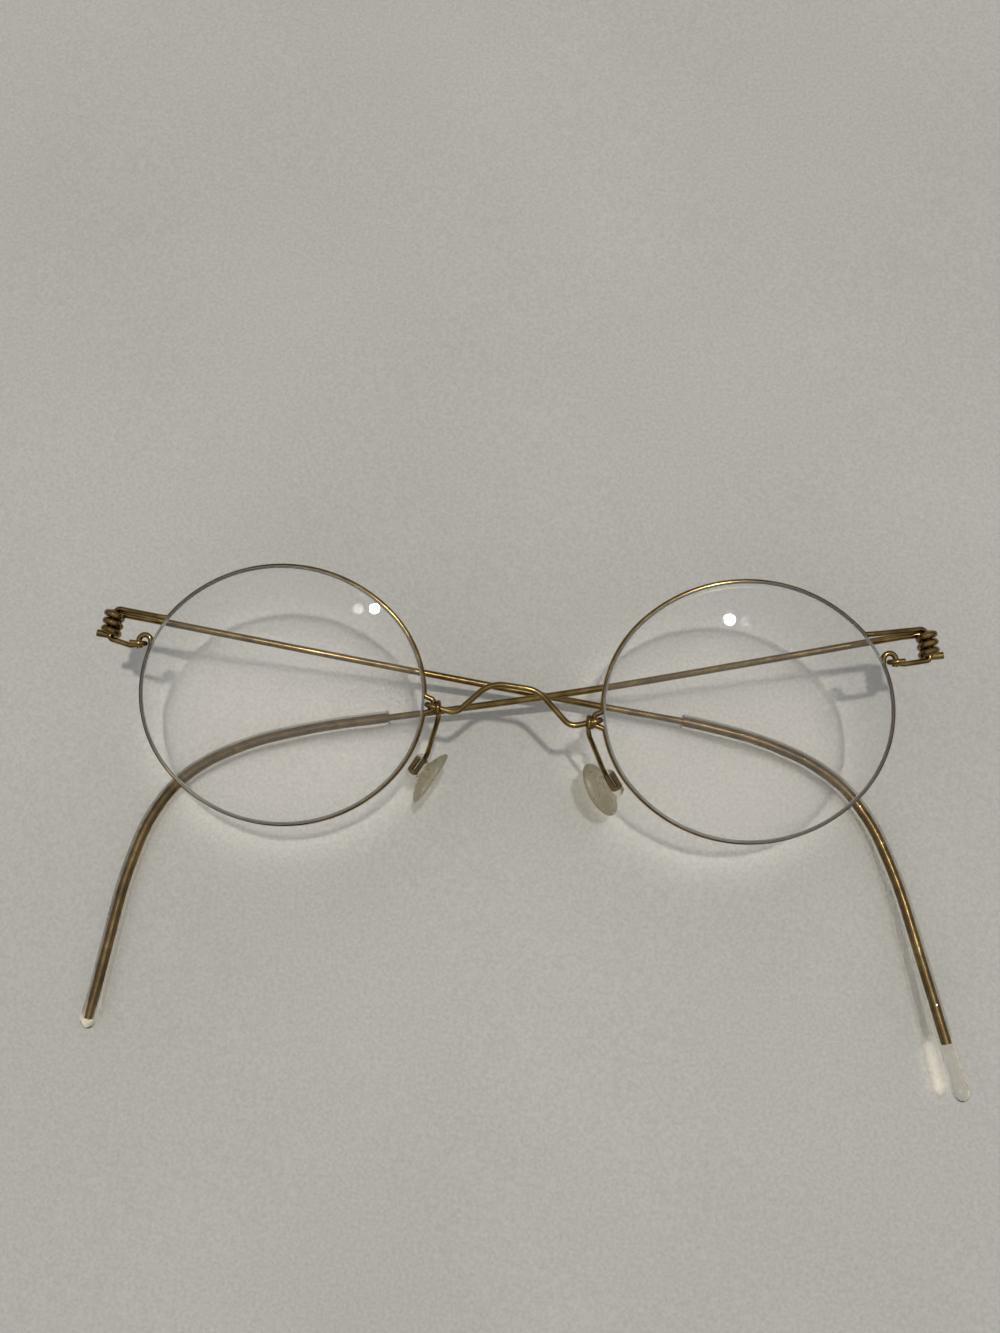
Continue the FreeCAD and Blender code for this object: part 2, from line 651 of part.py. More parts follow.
def add_feature(doc, label, shape, placement):
    """A named piece whose shape is worked out from the sheet."""
    piece = doc.addObject("Part::Feature", label)
    piece.Label = label
    piece.Shape = shape
    piece.Placement = placement
    return piece


def plane_of(body, role):
    return [item for item in body.Origin.OriginFeatures if item.Role == role][0]


def add_lens(doc, sheet, name, side):
    """Outline pad cut to two spheres, then grooved for the rim wire."""
    outline = LensOutline(sheet)
    half = sheet.lens_spacing / 2.0
    blank = doc.addObject("PartDesign::Body", name + "_lens_blank")
    sketch = blank.newObject("Sketcher::SketchObject", name + "_lens_outline")
    sketch.AttachmentSupport = [(plane_of(blank, "XY_Plane"), "")]
    sketch.MapMode = "FlatFace"
    draw_outline(sketch, outline)
    pad = blank.newObject("PartDesign::Pad", name + "_lens_pad")
    pad.Profile = sketch
    pad.setExpression("Length", "(sizes.lens_edge + sizes.lens_blank_spare) * 1mm")
    doc.recompute()
    blank.Placement = Placement(Vector(0, 0, sheet.lens_edge_ahead - sheet.lens_edge), Rotation())

    front = doc.addObject("Part::Sphere", name + "_lens_front")
    front.setExpression("Radius", "sizes.lens_front_radius * 1mm")
    reach = sheet.lens_width / 2.0
    front_sag = math.sqrt(sheet.lens_front_radius ** 2 - reach ** 2)
    front.Placement = Placement(Vector(0, 0, sheet.lens_edge_ahead - front_sag), Rotation())
    back = doc.addObject("Part::Sphere", name + "_lens_back")
    back.setExpression("Radius", "sizes.lens_back_radius * 1mm")
    back_sag = math.sqrt(sheet.lens_back_radius ** 2 - reach ** 2)
    back_edge = sheet.lens_edge_ahead - sheet.lens_edge
    back.Placement = Placement(Vector(0, 0, back_edge - back_sag), Rotation())
    convex = doc.addObject("Part::MultiCommon", name + "_lens_convex")
    convex.Shapes = [blank, front]
    meniscus = doc.addObject("Part::Cut", name + "_lens_meniscus")
    meniscus.Base = convex
    meniscus.Tool = back
    groove_wire = sheet.rim_wire + 2.0 * sheet.groove_clearance
    ring = outline.edges(360.0, 0.0, lambda spot: spot)
    groove = doc.addObject("Part::Feature", name + "_lens_groove")
    groove.Shape = swept_rod(ring, groove_wire)
    lens = doc.addObject("Part::Cut", name + "_lens")
    lens.Base = meniscus
    lens.Tool = groove
    lens.Label = name + "_lens"
    middle = Placement(Vector(side * half, 0, 0), Rotation())
    lens.Placement = front_placement(sheet).multiply(middle)
    return lens


def draw_outline(sketch, outline):
    """Four arcs, each from one meeting angle to the next."""
    first, second, third, fourth = outline.corners()
    spans = [(first, second), (second, third), (third, fourth), (fourth, first + 360.0)]
    for low, high in spans:
        centre, radius = outline.arc((low + high) / 2.0)
        circle = Part.Circle(centre, Vector(0, 0, 1), radius)
        sketch.addGeometry(Part.ArcOfCircle(circle, math.radians(low), math.radians(high)), False)


def add_pad(doc, sheet, name, side):
    """Oval silicone pad with a bored boss for the hairpin, in the hairpin's own frame."""
    label = name + "_nose_pad"
    oval_pad = doc.addObject("Part::Feature", label + "_oval")
    oval_pad.Shape = pad_oval(sheet)
    boss = doc.addObject("Part::Cylinder", label + "_boss")
    boss.setExpression("Radius", "sizes.pad_boss / 2 * 1mm")
    boss.setExpression("Height", "(sizes.clip_length + sizes.pad_boss_cap) * 1mm")
    boss.Placement = Placement(Vector(0, 0, -sheet.clip_length / 2.0), Rotation())
    neck = doc.addObject("Part::Box", label + "_neck")
    neck.setExpression("Length", "sizes.pad_offset * 1mm")
    neck.setExpression("Width", "sizes.pad_neck * 1mm")
    neck.setExpression("Height", "sizes.clip_length * 1mm")
    neck.Placement = Placement(Vector(0, -sheet.pad_neck / 2.0, -sheet.clip_length / 2.0),
                               Rotation())
    solid = doc.addObject("Part::MultiFuse", label + "_solid")
    solid.Shapes = [oval_pad, boss, neck]
    bore = doc.addObject("Part::Cylinder", label + "_bore")
    clip = sheet.arm_wire + sheet.wire_gap / 2.0 + sheet.pad_bore_clearance
    bore.Radius = clip
    bore.Height = sheet.clip_length + sheet.pad_bore_end + OVERCUT
    bore.Placement = Placement(Vector(0, 0, -sheet.clip_length / 2.0 - OVERCUT), Rotation())
    pad = doc.addObject("Part::Cut", label)
    pad.Base = solid
    pad.Tool = bore
    pad.Label = label
    pad.Placement = pad_placement(sheet, name, side)
    return pad


def pad_oval(sheet):
    """Flat oval, widest near its nose side: ellipses that shrink towards both faces."""
    middle = Vector(sheet.pad_offset, 0, sheet.pad_drop)
    through = Vector(1, 0, 0)
    sections = [oval(middle + through * (sheet.pad_thickness / 2.0 * depth), through,
                     Vector(0, 0, 1), sheet.pad_length / 2.0 * share,
                     sheet.pad_width / 2.0 * share) for depth, share in PAD_PROFILE]
    return Part.makeLoft(sections, True, False)


def pad_placement(sheet, name, side):
    """Hairpin frame in the bed's frame: Z along the hairpin, X towards the nose, turned."""
    along, across = clip_axes(sheet, side)
    middle = clip_root(sheet, name, side) + along * (sheet.clip_length / 2.0)
    toward = across
    if toward.x * side > 0:
        toward = toward * -1.0
    third = along.cross(toward)
    frame = FreeCAD.Matrix(toward.x, third.x, along.x, middle.x,
                           toward.y, third.y, along.y, middle.y,
                           toward.z, third.z, along.z, middle.z,
                           0, 0, 0, 1)
    turn = Rotation(Vector(0, 0, 1), side * sheet.get(name + "_pad_turn"))
    local = Placement(frame).multiply(Placement(Vector(), turn))
    return front_placement(sheet).multiply(local)


def build(doc, sheet):
    """Every named piece of the eyeglasses, in the bed's frame."""
    front = front_placement(sheet)
    pieces = []
    for name, side in SIDES:
        rim = swept_rod(rim_edges(sheet, name, side), sheet.rim_wire)
        pieces.append(add_feature(doc, name + "_rim_wire", rim, front))
        pieces.append(add_lens(doc, sheet, name, side))
        arm = swept_rod(arm_edges(sheet, name, side), sheet.arm_wire)
        pieces.append(add_feature(doc, name + "_pad_arm", arm, front))
        pieces.append(add_pad(doc, sheet, name, side))
        fold = temple_placement(sheet, name, side)
        wire = temple_wire(sheet, name, side)
        pieces.append(add_feature(doc, name + "_temple_wire", wire, fold))
        pieces.append(add_feature(doc, name + "_temple_sleeve", sleeve(sheet, name, side), fold))
    bridge = swept_rod(bridge_edges(sheet), sheet.bridge_wire)
    pieces.append(add_feature(doc, "bridge_wire", bridge, front))
    return pieces


def centre_on_bed(pieces):
    """Move every piece so that the box round them all has its bottom centre at the origin."""
    box = FreeCAD.BoundBox()
    for piece in pieces:
        box.add(piece.Shape.optimalBoundingBox(False, False))
    shift = Vector(-box.Center.x, -box.Center.y, -box.ZMin)
    for piece in pieces:
        moved = Placement(piece.Placement)
        moved.Base = moved.Base + shift
        piece.Placement = moved
    return shift


def check(doc, pieces):
    """Stop if any object failed or any piece isn't one valid solid."""
    for item in doc.Objects:
        if "Invalid" in item.State or "Error" in item.State:
            raise ValueError("%s failed" % item.Name)
    for piece in pieces:
        shape = piece.Shape
        if shape.isNull() or not shape.isValid() or len(shape.Solids) != 1:
            raise ValueError("%s isn't one valid solid" % piece.Label)


def report_axes(sheet, shift):
    """Print each joint's point and axis, and how far the pieces were moved."""
    print("moved by %.4f %.4f %.4f" % tuple(shift))
    for name, side in SIDES:
        pin = hinge_placement(sheet, name, side)
        clip = pad_placement(sheet, name, side)
        for label, spot, axis in (("fold", pin, Vector(0, 1, 0)), ("pad", clip, Vector(0, 0, 1))):
            place = tuple(spot.Base + shift) + tuple(spot.Rotation.multVec(axis))
            print(name, label, "at %.4f %.4f %.4f axis %.6f %.6f %.6f" % place)
        run = temple_run(sheet, name, side, sheet.grip_along, sheet.grip_along + 1.0)[0]
        fold = temple_placement(sheet, name, side)
        spot = fold.multVec(run.valueAt(run.FirstParameter)) + shift
        axis = fold.Rotation.multVec(run.tangentAt(run.FirstParameter))
        print(name, "grip at %.4f %.4f %.4f axis %.6f %.6f %.6f" % (tuple(spot) + tuple(axis)))


def main():
    doc = FreeCAD.newDocument("eyeglasses")
    sheet = make_sheet(doc)
    pieces = build(doc, sheet)
    doc.recompute()
    shift = centre_on_bed(pieces)
    doc.recompute()
    check(doc, pieces)
    os.makedirs("parts", exist_ok=True)
    for piece in pieces:
        piece.Shape.exportStep(os.path.join("parts", piece.Label + ".step"))
        print("%-22s %8.2f mm^3" % (piece.Label, piece.Shape.Volume))
    report_axes(sheet, shift)


main()
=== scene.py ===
"""Folded screwless wire eyeglasses on a pale cloth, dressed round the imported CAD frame.

The CAD wires stay as they are and get their drawn, gold-bronze finish here. The lenses, the
clear temple sleeves and the soft nose pads are worked out as smooth surfaces in place of
their plain CAD solids. Lengths inside the classes are in millimetres; every mesh is written
in metres, in the row frame.
"""

import json
import logging
import math
from dataclasses import dataclass, field
from enum import Enum

import bpy
import numpy as np
from mathutils import Matrix, Vector

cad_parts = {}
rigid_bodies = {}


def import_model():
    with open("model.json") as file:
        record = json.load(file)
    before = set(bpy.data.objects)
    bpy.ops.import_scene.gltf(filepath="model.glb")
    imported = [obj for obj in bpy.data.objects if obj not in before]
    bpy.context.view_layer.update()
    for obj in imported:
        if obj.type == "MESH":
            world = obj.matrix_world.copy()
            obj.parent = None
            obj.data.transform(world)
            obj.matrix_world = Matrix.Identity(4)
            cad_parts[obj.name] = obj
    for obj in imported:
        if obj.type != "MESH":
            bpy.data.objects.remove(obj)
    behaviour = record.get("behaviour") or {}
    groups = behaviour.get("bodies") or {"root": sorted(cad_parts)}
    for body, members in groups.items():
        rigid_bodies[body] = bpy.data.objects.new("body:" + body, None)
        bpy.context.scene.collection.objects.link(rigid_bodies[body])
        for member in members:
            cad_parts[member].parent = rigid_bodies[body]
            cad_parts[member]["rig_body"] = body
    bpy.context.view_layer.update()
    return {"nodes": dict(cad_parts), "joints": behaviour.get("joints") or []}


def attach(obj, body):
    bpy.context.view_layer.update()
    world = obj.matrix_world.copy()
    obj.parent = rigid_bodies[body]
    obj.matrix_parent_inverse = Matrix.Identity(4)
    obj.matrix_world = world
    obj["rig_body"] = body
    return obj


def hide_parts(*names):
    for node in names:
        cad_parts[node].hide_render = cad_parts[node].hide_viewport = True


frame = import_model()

LOG = logging.getLogger("eyeglasses")
MM = 0.001
QUARTER = math.pi / 2.0
ROUND = 2.0 * math.pi


class Side(Enum):
    """The wearer's side that a piece belongs to, with its sign along +X."""

    RIGHT = -1
    LEFT = 1

    @property
    def word(self) -> str:
        """The side's name as the CAD nodes spell it."""
        return self.name.lower()


class Band(Enum):
    """Material slots of a lens: its polished faces and its ground edge."""

    POLISHED = 0
    GROUND = 1


# ---------------------------------------------------------------- small vector tools


def unit(vectors: np.ndarray) -> np.ndarray:
    """Vectors divided by their own lengths.

    Args:
        vectors: One vector, or an array whose last axis holds them.

    Returns:
        Vectors of length one in the same arrangement.
    """
    return vectors / np.linalg.norm(vectors, axis=-1, keepdims=True)


def turn_matrix(axis: np.ndarray, degrees: float) -> np.ndarray:
    """Rotation about an axis through the origin, by Rodrigues's formula.

    Args:
        axis: Direction to turn about, of any length.
        degrees: Angle by the right-hand rule.

    Returns:
        A 3 by 3 matrix: identity, plus the sine times the cross-product matrix, plus one
        minus the cosine times that matrix squared.
    """
    x, y, z = unit(np.asarray(axis, float))
    cross = np.array([[0, -z, y], [z, 0, -x], [-y, x, 0]])
    angle = math.radians(degrees)
    return np.eye(3) + math.sin(angle) * cross + (1 - math.cos(angle)) * cross @ cross


def smooth_step(share: np.ndarray) -> np.ndarray:
    """Ease from 0 to 1: three shares squared minus two shares cubed, held outside 0 to 1."""
    held = np.clip(share, 0.0, 1.0)
    return held * held * (3.0 - 2.0 * held)


@dataclass(frozen=True)
class Place:
    """A right-handed frame in the row frame, in millimetres.

    Attributes:
        origin: Where the frame's zero point lies.
        axes: Its X, Y and Z directions as the columns of a matrix.
    """

    origin: np.ndarray
    axes: np.ndarray

    def put(self, points: np.ndarray) -> np.ndarray:
        """Points of this frame in the row frame: origin plus axes times point."""
        return points @ self.axes.T + self.origin

    def turned(self, matrix: np.ndarray) -> "Place":
        """The same frame turned about its own origin."""
        return Place(self.origin, self.axes @ matrix)


def joint(name: str) -> dict:
    """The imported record's entry for one joint."""
    return next(item for item in frame["joints"] if item["name"] == name)


# ---------------------------------------------------------------- meshes


def skin(name: str, rings: np.ndarray, first_pole: np.ndarray,
         last_pole: np.ndarray) -> bpy.types.Object:
    """A closed surface through rings of points, with a fan at each pole.

    The surface is a grid: ring i, point j joins ring i+1, point j+1. Its UV map holds the
    share of the way round and the distance along, in metres.

    Args:
        name: Name of the object and its mesh.
        rings: Points in millimetres in the row frame, shaped (rings, points, 3). Each ring
            turns the way that makes the faces point outwards.
        first_pole: Point that closes the first ring.
        last_pole: Point that closes the last ring.

    Returns:
        The new object, linked to the scene, at the origin.
    """
    count, sides = rings.shape[:2]
    points = np.vstack([rings.reshape(-1, 3), first_pole, last_pole])
    index = np.arange(count * sides).reshape(count, sides)
    low, high = index[:-1], index[1:]
    quads = np.stack([low, np.roll(low, -1, 1), np.roll(high, -1, 1), high], -1)
    first_fan = np.stack([np.roll(index[0], -1), index[0],
                          np.full(sides, count * sides)], -1)
    last_fan = np.stack([index[-1], np.roll(index[-1], -1),
                         np.full(sides, count * sides + 1)], -1)
    faces = quads.reshape(-1, 4).tolist() + first_fan.tolist() + last_fan.tolist()
    mesh = bpy.data.meshes.new(name)
    mesh.from_pydata((points * MM).tolist(), [], faces)
    mesh.polygons.foreach_set("use_smooth", np.ones(len(mesh.polygons), bool))
    lay_uv(mesh, rings)
    mesh.update()
    made = bpy.data.objects.new(name, mesh)
    bpy.context.scene.collection.objects.link(made)
    return made


def lay_uv(mesh: bpy.types.Mesh, rings: np.ndarray) -> None:
    """Gives a ringed mesh a UV map: share of the turn, and metres along the first seam.

    Args:
        mesh: Mesh whose first vertices are the rings, in order.
        rings: The same rings in millimetres.
    """
    count, sides = rings.shape[:2]
    steps = np.linalg.norm(np.diff(rings.mean(1), axis=0), axis=1)
    along = np.concatenate([[0.0], np.cumsum(steps)]) * MM
    turn = np.arange(sides) / sides
    flat = np.stack([np.tile(turn, count), np.repeat(along, sides)], -1)
    poles = len(mesh.vertices) - len(flat)
    flat = np.vstack([flat, np.tile([[0.5, along[-1]]], (poles, 1))])
    corners = np.zeros(len(mesh.loops), np.int32)
    mesh.loops.foreach_get("vertex_index", corners)
    layer = mesh.uv_layers.new(name="along")
    layer.data.foreach_set("uv", flat[corners].astype(np.float32).ravel())


def dress(piece: bpy.types.Object, *materials: bpy.types.Material) -> None:
    """Gives a piece its materials in slot order, in place of any it has."""
    piece.data.materials.clear()
    for material in materials:
        piece.data.materials.append(material)


def report(piece: bpy.types.Object, body: str) -> None:
    """Logs one finished piece: its name, its faces and the body it rides on."""
    LOG.info("%s: %d faces on %s", piece.name, len(piece.data.polygons), body)


# ---------------------------------------------------------------- node sketches


class Sketch:
    """A material's node tree, written as nested calls."""

    def __init__(self, name: str) -> None:
        """Starts an empty material with that name."""
        self.material = bpy.data.materials.new(name)
        self.material.use_nodes = True
        self.tree = self.material.node_tree
        self.tree.nodes.clear()
        self.out = self.tree.nodes.new("ShaderNodeOutputMaterial")

    def add(self, kind: str, sockets: dict | None = None, **settings: object) -> bpy.types.Node:
        """Adds a node.

        Args:
            kind: Node class without its "ShaderNode" prefix.
            sockets: Input name to a value, or to an output socket to link.
            settings: Node properties to set first.

        Returns:
            The new node.
        """
        node = self.tree.nodes.new("ShaderNode" + kind)
        for key, value in settings.items():
            setattr(node, key, value)
        for key, value in (sockets or {}).items():
            if isinstance(value, bpy.types.NodeSocket):
                self.tree.links.new(value, node.inputs[key])
            else:
                node.inputs[key].default_value = value
        return node

    def object_point(self, stretch: tuple[float, float, float] = (1, 1, 1)
                     ) -> bpy.types.NodeSocket:
        """The piece's own coordinates, stretched along the three axes."""
        source = self.add("TexCoord").outputs["Object"]
        return self.add("Mapping", {"Vector": source, "Scale": stretch}).outputs["Vector"]

    def noise(self, scale: float, detail: float = 3.0,
              point: bpy.types.NodeSocket | None = None) -> bpy.types.NodeSocket:
        """Cloudy noise in 0 to 1, with so many features a metre."""
        where = point or self.object_point()
        return self.add("TexNoise", {"Vector": where, "Scale": scale, "Detail": detail}
                        ).outputs["Fac"]

    def span(self, share: bpy.types.NodeSocket, low: float, high: float,
             first: float = 0.3, last: float = 0.7) -> bpy.types.NodeSocket:
        """A value carried from first..last to low..high and held there."""
        return self.add("MapRange", {"Value": share, "From Min": first, "From Max": last,
                                     "To Min": low, "To Max": high}).outputs["Result"]

    def ramp(self, share: bpy.types.NodeSocket, *stops: tuple[float, tuple]
             ) -> bpy.types.NodeSocket:
        """Colours blended along a share: each stop is a position and a colour."""
        node = self.add("ValToRGB", {"Fac": share})
        bar = node.color_ramp.elements
        while len(bar) < len(stops):
            bar.new(0.5)
        for element, (position, colour) in zip(bar, stops):
            element.position = position
            element.color = (*colour, 1.0)
        return node.outputs["Color"]

    def bump(self, height: bpy.types.NodeSocket, depth: float, strength: float = 1.0,
             under: bpy.types.NodeSocket | None = None) -> bpy.types.NodeSocket:
        """Surface relief: height 0 to 1 stands for so many metres."""
        sockets = {"Height": height, "Distance": depth, "Strength": strength}
        if under is not None:
            sockets["Normal"] = under
        return self.add("Bump", sockets).outputs["Normal"]

    def finish(self, surface: bpy.types.NodeSocket) -> bpy.types.Material:
        """Joins the surface to the output and returns the material."""
        self.tree.links.new(surface, self.out.inputs["Surface"])
        return self.material

    def lamp_clear(self, glass: bpy.types.NodeSocket, passed: tuple) -> bpy.types.NodeSocket:
        """Glass that lamps shine through: rays from lamps meet a clear stand-in.

        Args:
            glass: The shader that everything else sees.
            passed: Share of red, green and blue that the stand-in lets through.

        Returns:
            The mixed shader.
        """
        shadow = self.add("LightPath").outputs["Is Shadow Ray"]
        clear = self.add("BsdfTransparent", {"Color": (*passed, 1.0)}).outputs["BSDF"]
        mixed = self.tree.nodes.new("ShaderNodeMixShader")
        self.tree.links.new(shadow, mixed.inputs[0])
        self.tree.links.new(glass, mixed.inputs[1])
        self.tree.links.new(clear, mixed.inputs[2])
        return mixed.outputs[0]


# ---------------------------------------------------------------- finishes


@dataclass(frozen=True)
class DrawnWire:
    """Drawn titanium wire with a thin gold-bronze coat, handled and a little dulled."""

    name: str = "drawn_gold_bronze_wire"
    shade: tuple = (0.105, 0.062, 0.020)
    body: tuple = (0.225, 0.146, 0.050)
    light: tuple = (0.42, 0.295, 0.112)
    mottle: float = 420.0
    stops: tuple = (0.22, 0.52, 0.80)
    draw_marks: float = 6000.0
    mark_depth: float = 0.000008
    mark_strength: float = 0.35
    smoothest: float = 0.13
    roughest: float = 0.24

    def material(self) -> bpy.types.Material:
        """Mottled bronze with fine draw marks and worn, brighter specks."""
        sketch = Sketch(self.name)
        mottle = sketch.noise(self.mottle, 5.0)
        colour = sketch.ramp(mottle, *zip(self.stops, (self.shade, self.body, self.light)))
        marks = sketch.noise(self.draw_marks, 2.0, sketch.object_point((0.35, 1.0, 1.0)))
        rough = sketch.span(sketch.noise(self.mottle * 3.0, 3.0), self.smoothest, self.roughest)
        relief = sketch.bump(marks, self.mark_depth, self.mark_strength)
        metal = sketch.add("BsdfPrincipled", {"Base Color": colour, "Metallic": 1.0,
                                              "Roughness": rough, "Normal": relief})
        return sketch.finish(metal.outputs["BSDF"])


@dataclass(frozen=True)
class LensGlass:
    """Polished lens with the faint smears that handling leaves."""

    name: str = "polished_lens"
    tint: tuple = (0.965, 0.962, 0.955)
    passed: tuple = (0.62, 0.62, 0.625)
    smear: float = 130.0
    roughest: float = 0.035
    bend: float = 1.5

    def material(self) -> bpy.types.Material:
        """Clear glass, a little rougher where it is smeared."""
        sketch = Sketch(self.name)
        cloud = sketch.noise(self.smear, 4.0, sketch.object_point((1.0, 0.6, 1.0)))
        rough = sketch.span(cloud, 0.0, self.roughest, 0.5, 0.8)
        glass = sketch.add("BsdfPrincipled", {
            "Base Color": (*self.tint, 1.0), "Roughness": rough, "IOR": self.bend,
            "Transmission Weight": 1.0})
        return sketch.finish(sketch.lamp_clear(glass.outputs["BSDF"], self.passed))


@dataclass(frozen=True)
class GroundEdge:
    """Lens edge as the grinding wheel leaves it: whitish, with fine circling marks."""

    name: str = "ground_lens_edge"
    tint: tuple = (0.50, 0.505, 0.50)
    passed: tuple = (0.50, 0.505, 0.50)
    grain: float = 16000.0
    grain_depth: float = 0.00001
    grain_strength: float = 0.6
    smoothest: float = 0.28
    roughest: float = 0.5
    bend: float = 1.5
    clearness: float = 0.9

    def material(self) -> bpy.types.Material:
        """Frosted glass with a fine grain."""
        sketch = Sketch(self.name)
        grain = sketch.noise(self.grain, 2.0)
        rough = sketch.span(grain, self.smoothest, self.roughest)
        relief = sketch.bump(grain, self.grain_depth, self.grain_strength)
        glass = sketch.add("BsdfPrincipled", {
            "Base Color": (*self.tint, 1.0), "Roughness": rough, "Normal": relief,
            "IOR": self.bend, "Transmission Weight": self.clearness})
        return sketch.finish(sketch.lamp_clear(glass.outputs["BSDF"], self.passed))


@dataclass(frozen=True)
class ClearSilicone:
    """Clear silicone of the sleeves, scuffed in specks that sparkle along the wire."""

    name: str = "scuffed_clear_silicone"
    tint: tuple = (0.90, 0.875, 0.81)
    passed: tuple = (0.82, 0.80, 0.74)
    smoothest: float = 0.02
    roughest: float = 0.09
    bend: float = 1.43
    speck: float = 2300.0
    speck_depth: float = 0.00002
    speck_strength: float = 0.7
    cloudy_share: float = 0.93

    def material(self) -> bpy.types.Material:
        """Silicone with cloudy roughness and small dents that catch the light."""
        sketch = Sketch(self.name)
        cloud = sketch.noise(self.speck / 6.0, 4.0)
        rough = sketch.span(cloud, self.smoothest, self.roughest)
        cells = sketch.add("TexVoronoi", {"Vector": sketch.object_point(),
                                          "Scale": self.speck}).outputs["Distance"]
        dents = sketch.span(cells, 0.0, 1.0, 0.04, 0.34)
        relief = sketch.bump(dents, self.speck_depth, self.speck_strength)
        cloudy = tuple(self.cloudy_share * part for part in self.tint)
        colour = sketch.ramp(cloud, (0.3, cloudy), (0.7, self.tint))
        soft = sketch.add("BsdfPrincipled", {
            "Base Color": colour, "Roughness": rough, "Normal": relief,
            "IOR": self.bend, "Transmission Weight": 1.0})
        return sketch.finish(sketch.lamp_clear(soft.outputs["BSDF"], self.passed))


@dataclass(frozen=True)
class PadSilicone:
    """Silicone of a nose pad: satin and yellowed, but clear close round its hairpin."""

    name: str = "yellowed_satin_silicone"
    satin: tuple = (0.50, 0.46, 0.34)
    clear: tuple = (0.90, 0.89, 0.82)
    passed: tuple = (0.62, 0.60, 0.50)
    clear_within: float = 0.95
    satin_beyond: float = 1.9
    smoothest: float = 0.08
    roughest: float = 0.30
    milky: float = 0.70
    bend: float = 1.41
    grain: float = 1500.0
    grain_depth: float = 0.00001
    grain_strength: float = 0.25

    def material(self, side: Side) -> bpy.types.Material:
        """Tint and roughness follow the distance from the hairpin's axis.

        The distance is the length of the cross product of the axis's direction with the
        way from a point on the axis.

        Args:
            side: Whose pad it is, which gives the axis.

        Returns:
            The material for that pad.
        """
        sketch = Sketch(side.word + "_" + self.name)
        rock = joint(side.word + "_pad_rock")
        where = sketch.add("TexCoord").outputs["Object"]
        way = sketch.add("VectorMath", {0: where, 1: tuple(rock["pos_m"])},
                         operation="SUBTRACT").outputs[0]
        across = sketch.add("VectorMath", {0: way, 1: tuple(rock["axis"])},
                            operation="CROSS_PRODUCT").outputs[0]
        reach = sketch.add("VectorMath", {0: across}, operation="LENGTH").outputs["Value"]
        share = sketch.span(reach, 0.0, 1.0, self.clear_within * MM, self.satin_beyond * MM)
        cloud = sketch.noise(self.grain, 4.0)
        mixed = sketch.add("Math", {0: share, 1: sketch.span(cloud, 0.82, 1.1)},
                           operation="MULTIPLY").outputs[0]
        colour = sketch.ramp(mixed, (0.0, self.clear), (0.9, self.satin))
        rough = sketch.span(mixed, self.smoothest, self.roughest, 0.0, 1.0)
        through = sketch.span(mixed, 1.0, self.milky, 0.0, 1.0)
        relief = sketch.bump(cloud, self.grain_depth, self.grain_strength)
        soft = sketch.add("BsdfPrincipled", {
            "Base Color": colour, "Roughness": rough, "Normal": relief,
            "IOR": self.bend, "Transmission Weight": through})
        return sketch.finish(sketch.lamp_clear(soft.outputs["BSDF"], self.passed))


@dataclass(frozen=True)
class PaleCloth:
    """Plain off-white cotton: crossing threads, slubs and a slightly uneven colour."""

    name: str = "pale_cotton"
    light: tuple = (0.64, 0.625, 0.585)
    dull: tuple = (0.585, 0.57, 0.53)
    threads: float = 2300.0
    finer: float = 20.0
    mottle: float = 14.0
    slubs: float = 1900.0
    weave_depth: float = 0.00004
    weave_strength: float = 0.5
    slub_depth: float = 0.00014
    slub_strength: float = 0.65
    dullness: float = 0.92
    nap: float = 0.25
    nap_roughness: float = 0.5
    gloss: float = 0.15

    def material(self) -> bpy.types.Material:
        """Woven relief on a mottled off-white ground."""
        sketch = Sketch(self.name)
        wide = sketch.noise(self.mottle, 3.0)
        fine = sketch.noise(self.slubs, 3.0)
        ground = sketch.ramp(wide, (0.3, self.dull), (0.7, self.light))
        flecks = sketch.span(fine, 0.9, 1.06)
        colour = sketch.add("VectorMath", {0: ground, "Scale": flecks}, operation="SCALE")
        wave = {"Scale": self.threads / self.finer, "Distortion": 3.0, "Detail": 2.0,
                "Detail Scale": 4.0, "Vector": sketch.object_point((self.finer,) * 3)}
        warp = sketch.add("TexWave", wave, bands_direction="X").outputs["Fac"]
        weft = sketch.add("TexWave", wave, bands_direction="Y").outputs["Fac"]
        weave = sketch.add("Math", {0: warp, 1: weft}, operation="ADD").outputs[0]
        relief = sketch.bump(weave, self.weave_depth, self.weave_strength)
        relief = sketch.bump(fine, self.slub_depth, self.slub_strength, relief)
        cloth = sketch.add("BsdfPrincipled", {
            "Base Color": colour.outputs[0], "Roughness": self.dullness,
            "Sheen Weight": self.nap, "Sheen Roughness": self.nap_roughness,
            "Specular IOR Level": self.gloss, "Normal": relief})
        return sketch.finish(cloth.outputs["BSDF"])


# ---------------------------------------------------------------- the front


@dataclass
class FrontFrame:
    """Where the front's own plane lies: X across the face, Y to the brow, Z forwards."""

    tilt: float = 9.0
    hinge_out: float = 58.6
    hinge_rise: float = 9.4
    pin_behind: float = 1.6

    def place(self) -> Place:
        """The plane through both rims, found back from the right hinge's pin."""
        axes = turn_matrix(np.array([1.0, 0.0, 0.0]), self.tilt)
        pin = np.array(joint("right_temple_fold")["pos_m"]) / MM
        from_middle = np.array([-self.hinge_out, self.hinge_rise, -self.pin_behind])
        return Place(pin - axes @ from_middle, axes)


